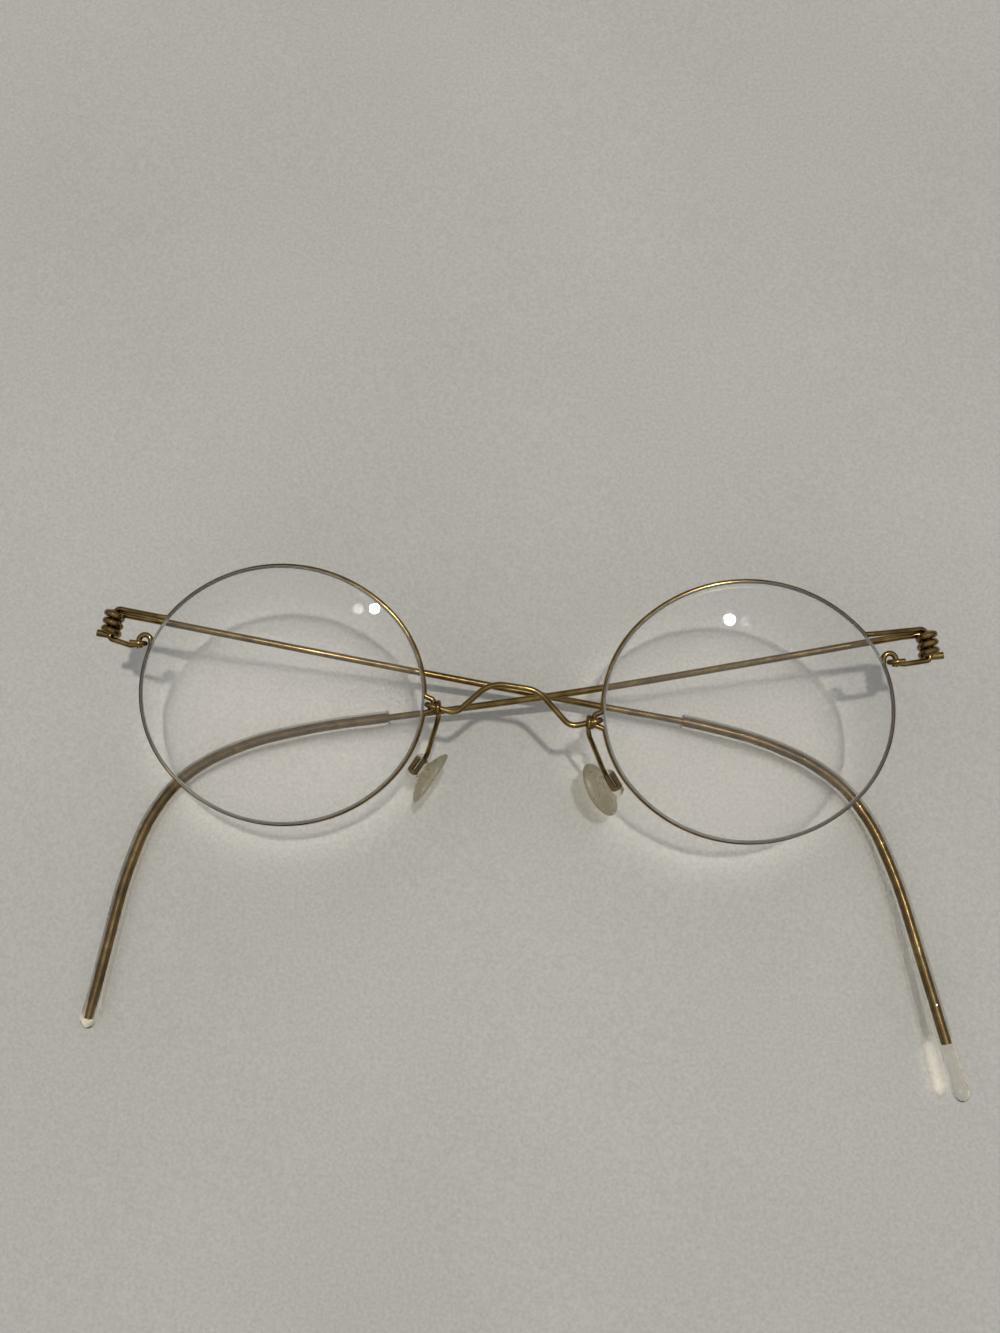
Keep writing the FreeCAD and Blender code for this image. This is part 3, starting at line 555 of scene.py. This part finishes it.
@dataclass
class Lens:
    """One meniscus lens, with a groove round its edge for the rim wire."""

    side: Side
    front: Place
    width: float = 40.7
    side_radius: float = 17.0
    top_radius: float = 21.85
    bottom_radius: float = 21.5
    spacing: float = 66.2
    edge: float = 2.0
    edge_ahead: float = 0.7
    front_radius: float = 92.0
    back_radius: float = 74.0
    groove: float = 0.41
    chamfer: float = 0.14
    rings: int = 30
    groove_rings: int = 13
    around: int = 360

    def outline(self, inset: float) -> np.ndarray:
        """The lens's edge line, moved inwards by a distance.

        Four tangent arcs: at normal angle a, the point is the arc's centre plus its radius
        less the inset, times (cos a, sin a). The wide arcs meet the side arcs where the
        line between their centres points at angle a.

        Args:
            inset: Distance inwards, along the normal.

        Returns:
            Points shaped (around, 2), anticlockwise from the front for the left lens.
        """
        turn = np.linspace(0.0, ROUND, self.around, endpoint=False)
        shift = self.width / 2.0 - self.side_radius
        drop = math.sqrt((self.top_radius - self.side_radius) ** 2 - shift ** 2)
        lift = math.sqrt((self.bottom_radius - self.side_radius) ** 2 - shift ** 2)
        top = math.atan2(drop, shift)
        bottom = math.atan2(lift, shift)
        upper = (turn > top) & (turn < math.pi - top)
        lower = (turn > math.pi + bottom) & (turn < ROUND - bottom)
        flank = np.where(np.cos(turn) >= 0.0, shift, -shift)
        centre_x = np.where(upper | lower, 0.0, flank)
        centre_y = np.where(upper, -drop, np.where(lower, lift, 0.0))
        radius = np.where(upper, self.top_radius,
                          np.where(lower, self.bottom_radius, self.side_radius)) - inset
        return np.stack([centre_x + radius * np.cos(turn),
                         centre_y + radius * np.sin(turn)], -1)

    def surface(self, flat: np.ndarray, radius: float, rim: float) -> np.ndarray:
        """Height of a spherical face over points of the rim's plane.

        The sphere's centre lies on the lens's axis, and the face passes through the
        height rim at half the lens's width from the axis.

        Args:
            flat: Points shaped (..., 2) in the lens's own plane.
            radius: The sphere's radius.
            rim: Height at half the width.

        Returns:
            Heights shaped (...).
        """
        reach = self.width / 2.0
        middle = rim - math.sqrt(radius ** 2 - reach ** 2)
        return middle + np.sqrt(radius ** 2 - (flat ** 2).sum(-1))

    def profile(self) -> np.ndarray:
        """The lens as rings, from the middle of its front round the edge to its back.

        The groove is a half circle: at angle a from straight out, it is the groove's
        radius times cos a deep and times sin a high.

        Returns:
            Points shaped (rings, around, 3) in the lens's own frame.
        """
        inner = self.outline(self.chamfer)
        shares = np.sin(np.linspace(0.0, QUARTER, self.rings + 1))[1:]
        flat = shares[:, None, None] * inner[None]
        back_rim = self.edge_ahead - self.edge
        ahead = self.surface(flat, self.front_radius, self.edge_ahead)
        behind = self.surface(flat, self.back_radius, back_rim)
        outer = self.outline(0.0)
        band = [np.column_stack([outer, ahead[-1] - self.chamfer])]
        for angle in np.linspace(QUARTER, -QUARTER, self.groove_rings):
            ring = self.outline(self.groove * math.cos(angle))
            height = np.full(self.around, self.groove * math.sin(angle))
            band.append(np.column_stack([ring, height]))
        band.append(np.column_stack([outer, behind[-1] + self.chamfer]))
        front_face = np.concatenate([flat, ahead[..., None]], -1)
        back_face = np.concatenate([flat, behind[..., None]], -1)[::-1]
        return np.concatenate([front_face, np.array(band), back_face])

    def build(self, finishes: tuple) -> bpy.types.Object:
        """Makes the lens in its node's place, polished on both faces and ground round it.

        Args:
            finishes: The polished and the ground materials, in Band's order.

        Returns:
            The lens.
        """
        rings = self.profile()
        crown = np.array([0.0, 0.0, self.surface(np.zeros(2), self.front_radius,
                                                 self.edge_ahead)])
        hollow = np.array([0.0, 0.0, self.surface(np.zeros(2), self.back_radius,
                                                  self.edge_ahead - self.edge)])
        rings = rings * np.array([self.side.value, 1.0, 1.0])
        if self.side is Side.LEFT:
            rings = rings[:, ::-1]
        middle = np.array([self.side.value * self.spacing / 2.0, 0.0, 0.0])
        put = self.front.put
        made = skin(self.side.word + "_lens_glass", put(rings + middle),
                    put(crown + middle), put(hollow + middle))
        dress(made, *finishes)
        quads = len(rings) - 1
        band = np.zeros(len(made.data.polygons), np.int32)
        grid = band[:quads * self.around].reshape(quads, self.around)
        grid[self.rings - 1:quads - self.rings + 1] = Band.GROUND.value
        made.data.polygons.foreach_set("material_index", band)
        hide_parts(self.side.word + "_lens")
        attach(made, "front")
        report(made, "front")
        return made


# ---------------------------------------------------------------- the temples


@dataclass
class TempleRoute:
    """The centre line of one temple's wire, from its hinge pin to past its tip."""

    side: Side
    fold: float
    droop: float
    straight: float
    ear_bend: float
    level: float
    wrap: float
    ear_length: float = 41.0
    length: float = 152.0
    coil_radius: float = 0.975
    coil_half: float = 1.656
    ease: float = 3.0
    ease_radius: float = 3.0
    run_shares: tuple = (0.54, 0.27, 0.19, 0.25, 0.20, 0.16, 0.17, 0.22)
    straight_runs: int = 3
    ear_shares: tuple = (0.0, 0.0, 0.07, 0.13, 0.19, 0.28, 0.22, 0.11)
    wrap_shares: tuple = (0.3, 0.35, 0.35, 0.0, 0.0, 0.0, 0.0, 0.0)
    bend_share: float = 0.45
    arc_points: int = 25

    def place(self) -> Place:
        """The temple's frame: Y up the pin, X along the pin's hinge line, folded down."""
        hinge = joint(self.side.word + "_temple_fold")
        up = np.array(hinge["axis"]) * (-self.side.value)
        forward = np.array([0.0, 0.0, 1.0])
        axes = np.stack([np.cross(up, forward), up, forward], -1)
        fold = turn_matrix(np.array([0.0, 1.0, 0.0]), -self.side.value * self.fold)
        return Place(np.array(hinge["pos_m"]) / MM, axes).turned(fold)

    def corners(self) -> tuple[np.ndarray, np.ndarray]:
        """Corner points of the route and the bend radius at each inner one.

        Each run's heading turns down by the ear bend's shares and up towards the head by
        the wrap's. A bend's radius is the bend share of its shorter run over the tangent
        of half its turn.

        Returns:
            Points shaped (n, 3) in the temple's frame, and n - 2 radii.
        """
        share = np.array(self.run_shares)
        scale = np.where(np.arange(len(share)) < self.straight_runs,
                         self.straight, self.ear_length)
        down = self.ear_bend * np.array(self.ear_shares)
        down[0] -= self.level
        up = self.wrap * np.array(self.wrap_shares)
        runs = np.append(share * scale, self.length)
        heading = np.radians(self.droop + np.concatenate([[0.0], np.cumsum(down)]))
        lift = np.radians(np.concatenate([[0.0], np.cumsum(up)]))
        steps = np.stack([-self.side.value * np.cos(heading) * np.cos(lift),
                          -np.sin(heading) * np.cos(lift), np.sin(lift)], -1)
        start = np.array([0.0, self.coil_half, -self.coil_radius])
        first = start + np.array([-self.side.value * self.ease, 0.0, 0.0])
        points = np.vstack([start, first, first + np.cumsum(steps * runs[:, None], 0)])
        turns = np.radians(np.hypot(down, up)) / 2.0
        shorter = np.minimum(runs[:-1], runs[1:])
        bends = self.bend_share * shorter / np.tan(turns)
        return points, np.concatenate([[self.ease_radius], bends])

    def line(self, first: float, last: float, stations: int) -> tuple[np.ndarray, np.ndarray]:
        """Stations along the bent route between two distances from the pin.

        Each corner is rounded by an arc of its radius, tangent to both of its runs: the
        route is the runs' straight parts and arcs in order, measured by length.

        Args:
            first: Distance of the first station.
            last: Distance of the last one.
            stations: How many, evenly spaced.

        Returns:
            Points and unit tangents, each shaped (stations, 3), in the temple's frame.
        """
        points, radii = self.corners()
        back = unit(points[:-2] - points[1:-1])
        ahead = unit(points[2:] - points[1:-1])
        half = np.arccos(np.clip((back * ahead).sum(-1), -1.0, 1.0)) / 2.0
        trim = (radii / np.tan(half))[:, None]
        middle = points[1:-1] + unit(back + ahead) * (radii / np.sin(half))[:, None]
        enter = points[1:-1] + back * trim
        leave = points[1:-1] + ahead * trim
        share = np.linspace(0.0, 1.0, self.arc_points)[None, :, None]
        turn = share * (math.pi - 2.0 * half)[:, None, None]
        arm = (enter - middle)[:, None]
        arcs = middle[:, None] + arm * np.cos(turn) - back[:, None] * (
            radii[:, None, None] * np.sin(turn))
        chain = np.vstack([points[:1], arcs.reshape(-1, 3), points[-1:]])
        steps = np.linalg.norm(np.diff(chain, axis=0), axis=1)
        chain = chain[np.concatenate([[True], steps > 1e-7])]
        steps = np.linalg.norm(np.diff(chain, axis=0), axis=1)
        along = np.concatenate([[0.0], np.cumsum(steps)])
        where = np.linspace(first, last, stations)
        spots = np.stack([np.interp(where, along, chain[:, k]) for k in range(3)], -1)
        return spots, unit(np.gradient(spots, axis=0))


@dataclass
class Sleeve:
    """Clear tube drawn over a temple's end, closed in a flattened, rounded tip."""

    route: TempleRoute
    start: float
    length: float = 74.0
    outer: float = 1.1
    bore: float = 0.50
    lip: float = 0.16
    tip_length: float = 6.0
    tip_half_width: float = 1.32
    tip_half_thickness: float = 0.95
    tip_ease: float = 0.75
    tip_close: float = 0.28
    end_zone: float = 1.7
    wire_end_gap: float = 0.15
    bore_cap: float = 0.3
    bore_stations: int = 240
    lip_stations: int = 7
    stations: int = 420
    end_stations: int = 26
    route_stations: int = 2000
    around: int = 40

    def half_axes(self, along: np.ndarray) -> tuple[np.ndarray, np.ndarray]:
        """The outside's half-width and half-thickness at distances from the mouth.

        Both are the tube's radius up to the tip. Over the tip's easing share they ease to
        the tip's own, and over its closing share, at the very end, they close as the
        square root of one minus the share's square. The mouth's edge is rounded the same
        way.

        Args:
            along: Distances from the mouth.

        Returns:
            Half-widths and half-thicknesses.
        """
        neck = self.length - self.tip_length
        share = (along - neck) / self.tip_length
        ease = smooth_step(share / self.tip_ease)
        wide = self.outer + (self.tip_half_width - self.outer) * ease
        thin = self.outer + (self.tip_half_thickness - self.outer) * ease
        closed = np.clip((share - (1.0 - self.tip_close)) / self.tip_close, 0.0, 1.0)
        closing = np.sqrt(1.0 - closed ** 2)
        mouth = 1.0 - np.clip(along / self.lip, 0.0, 1.0)
        lip = self.lip * (1.0 - np.sqrt(1.0 - mouth ** 2))
        return wide * closing - lip, thin * closing - lip

    def rings(self, along: np.ndarray, wide: np.ndarray, thin: np.ndarray) -> np.ndarray:
        """Ovals carried along the route.

        A ring's point at angle a is the route's point, plus the half-width times cos a
        across the bend's plane and the half-thickness times sin a towards the head.

        Args:
            along: Distances from the mouth.
            wide: Half-width at each.
            thin: Half-thickness at each.

        Returns:
            Points shaped (stations, around, 3) in the temple's frame.
        """
        fine, tangents = self.route.line(self.start, self.start + self.length,
                                         self.route_stations)
        reach = np.linspace(0.0, self.length, self.route_stations)
        spots = np.stack([np.interp(along, reach, fine[:, k]) for k in range(3)], -1)
        along_way = unit(np.stack([np.interp(along, reach, tangents[:, k])
                                   for k in range(3)], -1))
        head = np.array([0.0, 0.0, 1.0])
        head = unit(head - along_way * (along_way @ head)[:, None])
        across = np.cross(head, along_way)
        turn = np.linspace(0.0, ROUND, self.around, endpoint=False)
        return (spots[:, None] + across[:, None] * (wide[:, None] * np.cos(turn))[..., None]
                + head[:, None] * (thin[:, None] * np.sin(turn))[..., None])

    def build(self, finish: bpy.types.Material) -> bpy.types.Object:
        """Makes the sleeve: down the bore, round the lip and along the outside to the tip.

        The bore is a little narrower than the wire, which the stretched silicone grips. It
        closes past the wire's end as the square root of one minus the share's square.

        Args:
            finish: The clear silicone.

        Returns:
            The sleeve, riding on its temple.
        """
        side = self.route.side.word
        bore_end = self.route.length - self.wire_end_gap - self.start
        inside = np.linspace(bore_end, 0.0, self.bore_stations)
        closed = np.clip((inside - bore_end + self.bore_cap) / self.bore_cap, 0.0, 0.999)
        hollow = self.bore * np.sqrt(1.0 - closed ** 2)
        tube = np.linspace(self.lip, self.length - self.end_zone, self.stations)
        close = np.linspace(0.0, QUARTER, self.end_stations)[1:-1]
        outside = np.concatenate([np.linspace(0.0, self.lip, self.lip_stations)[:-1], tube,
                                  self.length - self.end_zone * np.cos(close)])
        wide, thin = self.half_axes(outside)
        along = np.concatenate([inside, outside])
        rings = self.rings(along, np.concatenate([hollow, wide]),
                           np.concatenate([hollow, thin]))
        place = self.route.place()
        end = self.rings(np.array([bore_end, self.length]), np.zeros(2), np.zeros(2)).mean(1)
        made = skin(side + "_sleeve_silicone", place.put(rings), place.put(end[0]),
                    place.put(end[1]))
        dress(made, finish)
        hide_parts(side + "_temple_sleeve")
        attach(made, side + "_temple")
        report(made, side + "_temple")
        return made


# ---------------------------------------------------------------- the nose pads


@dataclass
class NosePad:
    """Soft oval pad moulded in one round the hairpin of its arm, with no gap left."""

    side: Side
    front: Place
    turn: float
    length: float = 8.6
    width: float = 6.0
    thickness: float = 2.1
    widest: float = 0.5
    back_share: float = 0.42
    face_power: float = 2.4
    offset: float = 2.3
    drop: float = 0.7
    boss: float = 0.92
    boss_low: float = -1.7
    boss_high: float = 2.5
    boss_cap: float = 0.8
    neck: float = 0.62
    neck_height: float = 1.3
    neck_rise: float = 0.3
    neck_start: float = 0.5
    neck_flare: float = 0.4
    voxel: float = 0.07
    soften_share: float = 0.5
    soften_passes: int = 14

    def place(self) -> Place:
        """The hairpin's frame: Z along it, X towards the nose, turned as it was left."""
        rock = joint(self.side.word + "_pad_rock")
        along = np.array(rock["axis"])
        toward = unit(np.cross(self.front.axes[:, 2], along))
        toward = toward * (-np.sign(toward[0]) * self.side.value)
        axes = np.stack([toward, np.cross(along, toward), along], -1)
        middle = np.array(rock["pos_m"]) / MM
        turned = turn_matrix(np.array([0.0, 0.0, 1.0]), self.side.value * self.turn)
        return Place(middle, axes).turned(turned)

    def oval(self) -> tuple[np.ndarray, np.ndarray, np.ndarray]:
        """The pad's face: an oval, nearly flat towards the nose and tapered behind.

        Going from the arm's side (-1) to the nose's (+1) of its thickness, the two half-axes
        grow from the back's share of their full size by the sine of the share of the way
        to the widest place, and then close as the square root of one minus the share
        raised to the face's power.

        Returns:
            Rings in the hairpin's frame, and the two poles.
        """
        behind = np.linspace(0.0, 1.0, 14)
        ahead = np.sin(np.linspace(0.0, QUARTER, 14))[1:-1]
        depth = np.concatenate([(1.0 + self.widest) * behind - 1.0,
                                self.widest + (1.0 - self.widest) * ahead])
        swell = self.back_share + (1.0 - self.back_share) * np.sin(behind * QUARTER)
        shrink = np.concatenate([swell, np.sqrt(1.0 - ahead ** self.face_power)])
        turn = np.linspace(0.0, ROUND, 64, endpoint=False)
        x = self.offset + depth[:, None] * self.thickness / 2.0 + 0.0 * turn
        y = shrink[:, None] * self.width / 2.0 * np.cos(turn)
        z = self.drop + shrink[:, None] * self.length / 2.0 * np.sin(turn)
        poles = np.array([[self.offset - self.thickness / 2.0, 0.0, self.drop],
                          [self.offset + self.thickness / 2.0, 0.0, self.drop]])
        return np.stack([x, y, z], -1), poles[0], poles[1]

    def socket(self) -> tuple[np.ndarray, np.ndarray, np.ndarray]:
        """The boss: a capsule about the hairpin, whose ends close as quarter circles.

        Returns:
            Rings in the hairpin's frame, and the two poles.
        """
        close = np.linspace(0.0, QUARTER, 12)
        low = self.boss_low + self.boss_cap * (1.0 - np.sin(close[1:]))
        high = self.boss_high - self.boss_cap * (1.0 - np.sin(close[1:]))
        radii = self.boss * np.concatenate([np.cos(close[1:-1])[::-1], [1.0, 1.0],
                                            np.cos(close[1:-1])])
        straight = [self.boss_low + self.boss_cap, self.boss_high - self.boss_cap]
        heights = np.concatenate([low[:-1][::-1], straight, high[:-1]])
        turn = np.linspace(0.0, ROUND, 48, endpoint=False)
        rings = np.stack([radii[:, None] * np.cos(turn), radii[:, None] * np.sin(turn),
                          heights[:, None] + 0.0 * turn], -1)
        poles = np.array([[0.0, 0.0, self.boss_low], [0.0, 0.0, self.boss_high]])
        return rings, poles[0], poles[1]

    def web(self) -> tuple[np.ndarray, np.ndarray, np.ndarray]:
        """The neck between the boss and the oval: an elliptical bar that widens.

        Its section's half-axes are the neck's half-width and half-height, times one plus
        the flare's part of an eased share of the way to the oval.

        Returns:
            Rings in the hairpin's frame, and the two poles.
        """
        start, end, rise = self.neck_start, self.offset, self.neck_rise
        reach = np.linspace(start, end, 9)
        turn = np.linspace(0.0, ROUND, 40, endpoint=False)
        flare = 1.0 + self.neck_flare * smooth_step((reach - start) / (end - start))
        y = flare[:, None] * self.neck * np.cos(turn)
        z = rise + flare[:, None] * self.neck_height * np.sin(turn)
        x = reach[:, None] + 0.0 * turn
        poles = np.array([[start, 0.0, rise], [end, 0.0, rise]])
        return np.stack([x, y, z], -1), poles[0], poles[1]

    def build(self, finish: bpy.types.Material) -> bpy.types.Object:
        """Makes the pad: oval, neck and boss run together into one soft moulding.

        Args:
            finish: The yellowed silicone.

        Returns:
            The pad, riding on its own rocking body.
        """
        place = self.place()
        parts = []
        for label, (rings, first, last) in (("oval", self.oval()), ("boss", self.socket()),
                                            ("neck", self.web())):
            parts.append(skin(self.side.word + "_pad_" + label, place.put(rings),
                              place.put(first), place.put(last)))
        made = self.join(parts)
        dress(made, finish)
        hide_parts(self.side.word + "_nose_pad")
        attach(made, self.side.word + "_pad")
        report(made, self.side.word + "_pad")
        return made

    def join(self, parts: list) -> bpy.types.Object:
        """Melts overlapping closed shells into one skin with softened inner corners.

        Args:
            parts: The shells, which go away.

        Returns:
            One object with a single even skin.
        """
        meshes = [part.data for part in parts]
        points = [np.array([v.co for v in mesh.vertices]) for mesh in meshes]
        starts = np.cumsum([0] + [len(p) for p in points[:-1]])
        faces = [[start + corner for corner in face.vertices]
                 for start, mesh in zip(starts, meshes) for face in mesh.polygons]
        whole = bpy.data.meshes.new(self.side.word + "_pad_silicone")
        whole.from_pydata(np.vstack(points).tolist(), [], faces)
        for part in parts:
            bpy.data.objects.remove(part)
        made = bpy.data.objects.new(whole.name, whole)
        bpy.context.scene.collection.objects.link(made)
        melt = made.modifiers.new("melt", "REMESH")
        melt.mode = "VOXEL"
        melt.voxel_size = self.voxel * MM
        melt.use_smooth_shade = True
        soften = made.modifiers.new("soften", "SMOOTH")
        soften.factor = self.soften_share
        soften.iterations = self.soften_passes
        return made


# ---------------------------------------------------------------- wires of the frame


@dataclass
class WireWork:
    """The bent wires, whose CAD shapes stay: rims, bridge, pad arms and temples."""

    nodes: tuple = ("right_rim_wire", "left_rim_wire", "bridge_wire", "right_pad_arm",
                    "left_pad_arm", "right_temple_wire", "left_temple_wire")
    finish: DrawnWire = field(default_factory=DrawnWire)

    def build(self) -> None:
        """Gives every wire the drawn, gold-bronze finish."""
        material = self.finish.material()
        for name in self.nodes:
            node = frame["nodes"][name]
            for slot in node.material_slots:
                slot.material = material
            report(node, node["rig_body"])


# ---------------------------------------------------------------- studio


@dataclass
class Studio:
    """Pale cloth, a small high lamp and a sky that is brightest overhead."""

    cloth_half: float = 900.0
    cloth_cells: int = 480
    cloth_gap: float = 0.02
    wave_depth: float = 0.3
    long_wave: tuple = (23.0, 31.0, 0.6)
    cross_wave: tuple = (17.0, 61.0, 0.7)
    slant_wave: tuple = (11.0, 19.0, 0.5)
    lamp_toward: tuple = (0.13, 0.175, 1.0)
    lamp_power: float = 1.12
    lamp_spread: float = 2.4
    lamp_colour: tuple = (1.0, 0.965, 0.90)
    sky_low: tuple = (0.02, 0.02, 0.022)
    sky_high: tuple = (0.62, 0.625, 0.63)

    def cloth(self) -> bpy.types.Object:
        """The cloth: a level sheet with slow, shallow waves that never rise above zero.

        Its height is minus the sum of three squared sines of different lengths. Each wave
        has its own length, a second length that bends it, and a share: of the bending for
        the long wave, and of its height for the other two.

        Returns:
            The sheet.
        """
        line = np.linspace(-self.cloth_half, self.cloth_half, self.cloth_cells)
        x, y = np.meshgrid(line, line, indexing="ij")
        length, bend, share = self.long_wave
        waves = np.sin(x / length + share * np.sin(y / bend)) ** 2
        length, bend, share = self.cross_wave
        waves = waves + share * np.sin(y / length + x / bend) ** 2
        length, bend, share = self.slant_wave
        waves = waves + share * np.sin((x + y) / length + np.sin(x / bend)) ** 2
        height = -self.cloth_gap - self.wave_depth * waves
        points = np.stack([x, y, height], -1).reshape(-1, 3) * MM
        cells = self.cloth_cells
        index = np.arange(cells * cells).reshape(cells, cells)
        quads = np.stack([index[:-1, :-1], index[1:, :-1], index[1:, 1:], index[:-1, 1:]], -1)
        mesh = bpy.data.meshes.new("cloth")
        mesh.from_pydata(points.tolist(), [], quads.reshape(-1, 4).tolist())
        mesh.polygons.foreach_set("use_smooth", np.ones(len(mesh.polygons), bool))
        sheet = bpy.data.objects.new("cloth", mesh)
        bpy.context.scene.collection.objects.link(sheet)
        dress(sheet, PaleCloth().material())
        return sheet

    def lights(self) -> None:
        """A small distant lamp over the brow's left side, which no clear piece focuses."""
        lamp = bpy.data.lights.new("lamp", "SUN")
        lamp.energy = self.lamp_power
        lamp.angle = math.radians(self.lamp_spread)
        lamp.color = self.lamp_colour
        holder = bpy.data.objects.new("lamp", lamp)
        holder.visible_transmission = False
        holder.rotation_euler = Vector(self.lamp_toward).to_track_quat("Z", "Y").to_euler()
        bpy.context.scene.collection.objects.link(holder)

    def sky(self) -> None:
        """World light: dark at the horizon, pale grey overhead."""
        world = bpy.data.worlds.new("studio")
        bpy.context.scene.world = world
        world.use_nodes = True
        tree = world.node_tree
        tree.nodes.clear()
        where = tree.nodes.new("ShaderNodeTexCoord")
        split = tree.nodes.new("ShaderNodeSeparateXYZ")
        ramp = tree.nodes.new("ShaderNodeValToRGB")
        ramp.color_ramp.elements[0].color = (*self.sky_low, 1.0)
        ramp.color_ramp.elements[1].color = (*self.sky_high, 1.0)
        back = tree.nodes.new("ShaderNodeBackground")
        out = tree.nodes.new("ShaderNodeOutputWorld")
        tree.links.new(where.outputs["Generated"], split.inputs[0])
        tree.links.new(split.outputs["Z"], ramp.inputs["Fac"])
        tree.links.new(ramp.outputs["Color"], back.inputs["Color"])
        tree.links.new(back.outputs["Background"], out.inputs["Surface"])

    def build(self) -> None:
        """Lays the cloth and sets the lights."""
        self.cloth()
        self.lights()
        self.sky()
        bpy.context.scene.view_settings.view_transform = "Standard"


@dataclass(frozen=True)
class Viewpoint:
    """A wide lens close above the front, looking down and a little towards the brow."""

    eye: tuple = (-0.438, 0.398, 156.449)
    aim: tuple = (-4.447, 25.106, 0.0)
    roll: float = 2.26
    focal: float = 27.0
    sensor: float = 36.0
    nearest: float = 0.01
    farthest: float = 10.0

    def build(self) -> bpy.types.Object:
        """Makes the camera and sets it as the scene's own."""
        data = bpy.data.cameras.new("camera")
        data.lens = self.focal
        data.sensor_width = self.sensor
        data.clip_start = self.nearest
        data.clip_end = self.farthest
        camera = bpy.data.objects.new("camera", data)
        eye, aim = np.array(self.eye), np.array(self.aim)
        back = unit(eye - aim)
        up = unit(np.array([0.0, 1.0, 0.0]) - back[1] * back)
        up = turn_matrix(back, self.roll) @ up
        turned = np.eye(4)
        turned[:3, :3] = np.stack([np.cross(up, back), up, back], -1)
        turned[:3, 3] = eye * MM
        camera.matrix_world = Matrix(turned.tolist())
        bpy.context.scene.collection.objects.link(camera)
        bpy.context.scene.camera = camera
        return camera


# ---------------------------------------------------------------- the whole pair


def sleeves() -> tuple[Sleeve, Sleeve]:
    """The right and left sleeves, each on its temple's route as it was last bent."""
    right = TempleRoute(Side.RIGHT, fold=9.6, droop=1.3, straight=85.0, ear_bend=69.0,
                        level=0.0, wrap=8.5)
    left = TempleRoute(Side.LEFT, fold=8.3, droop=4.45, straight=87.4, ear_bend=73.0,
                       level=2.0, wrap=4.5)
    return Sleeve(right, start=86.0), Sleeve(left, start=79.5)


def main() -> None:
    """Builds the studio, the wires, the lenses, the sleeves and the pads in order."""
    logging.basicConfig(level=logging.INFO, format="%(name)s: %(message)s")
    Viewpoint().build()
    Studio().build()
    WireWork().build()
    front = FrontFrame().place()
    glass = (LensGlass().material(), GroundEdge().material())
    for side in Side:
        Lens(side, front).build(glass)
    silicone = ClearSilicone().material()
    for sleeve in sleeves():
        sleeve.build(silicone)
    for pad in (NosePad(Side.RIGHT, front, turn=4.0), NosePad(Side.LEFT, front, turn=36.0)):
        pad.build(PadSilicone().material(pad.side))


if __name__ == "__main__":
    main()
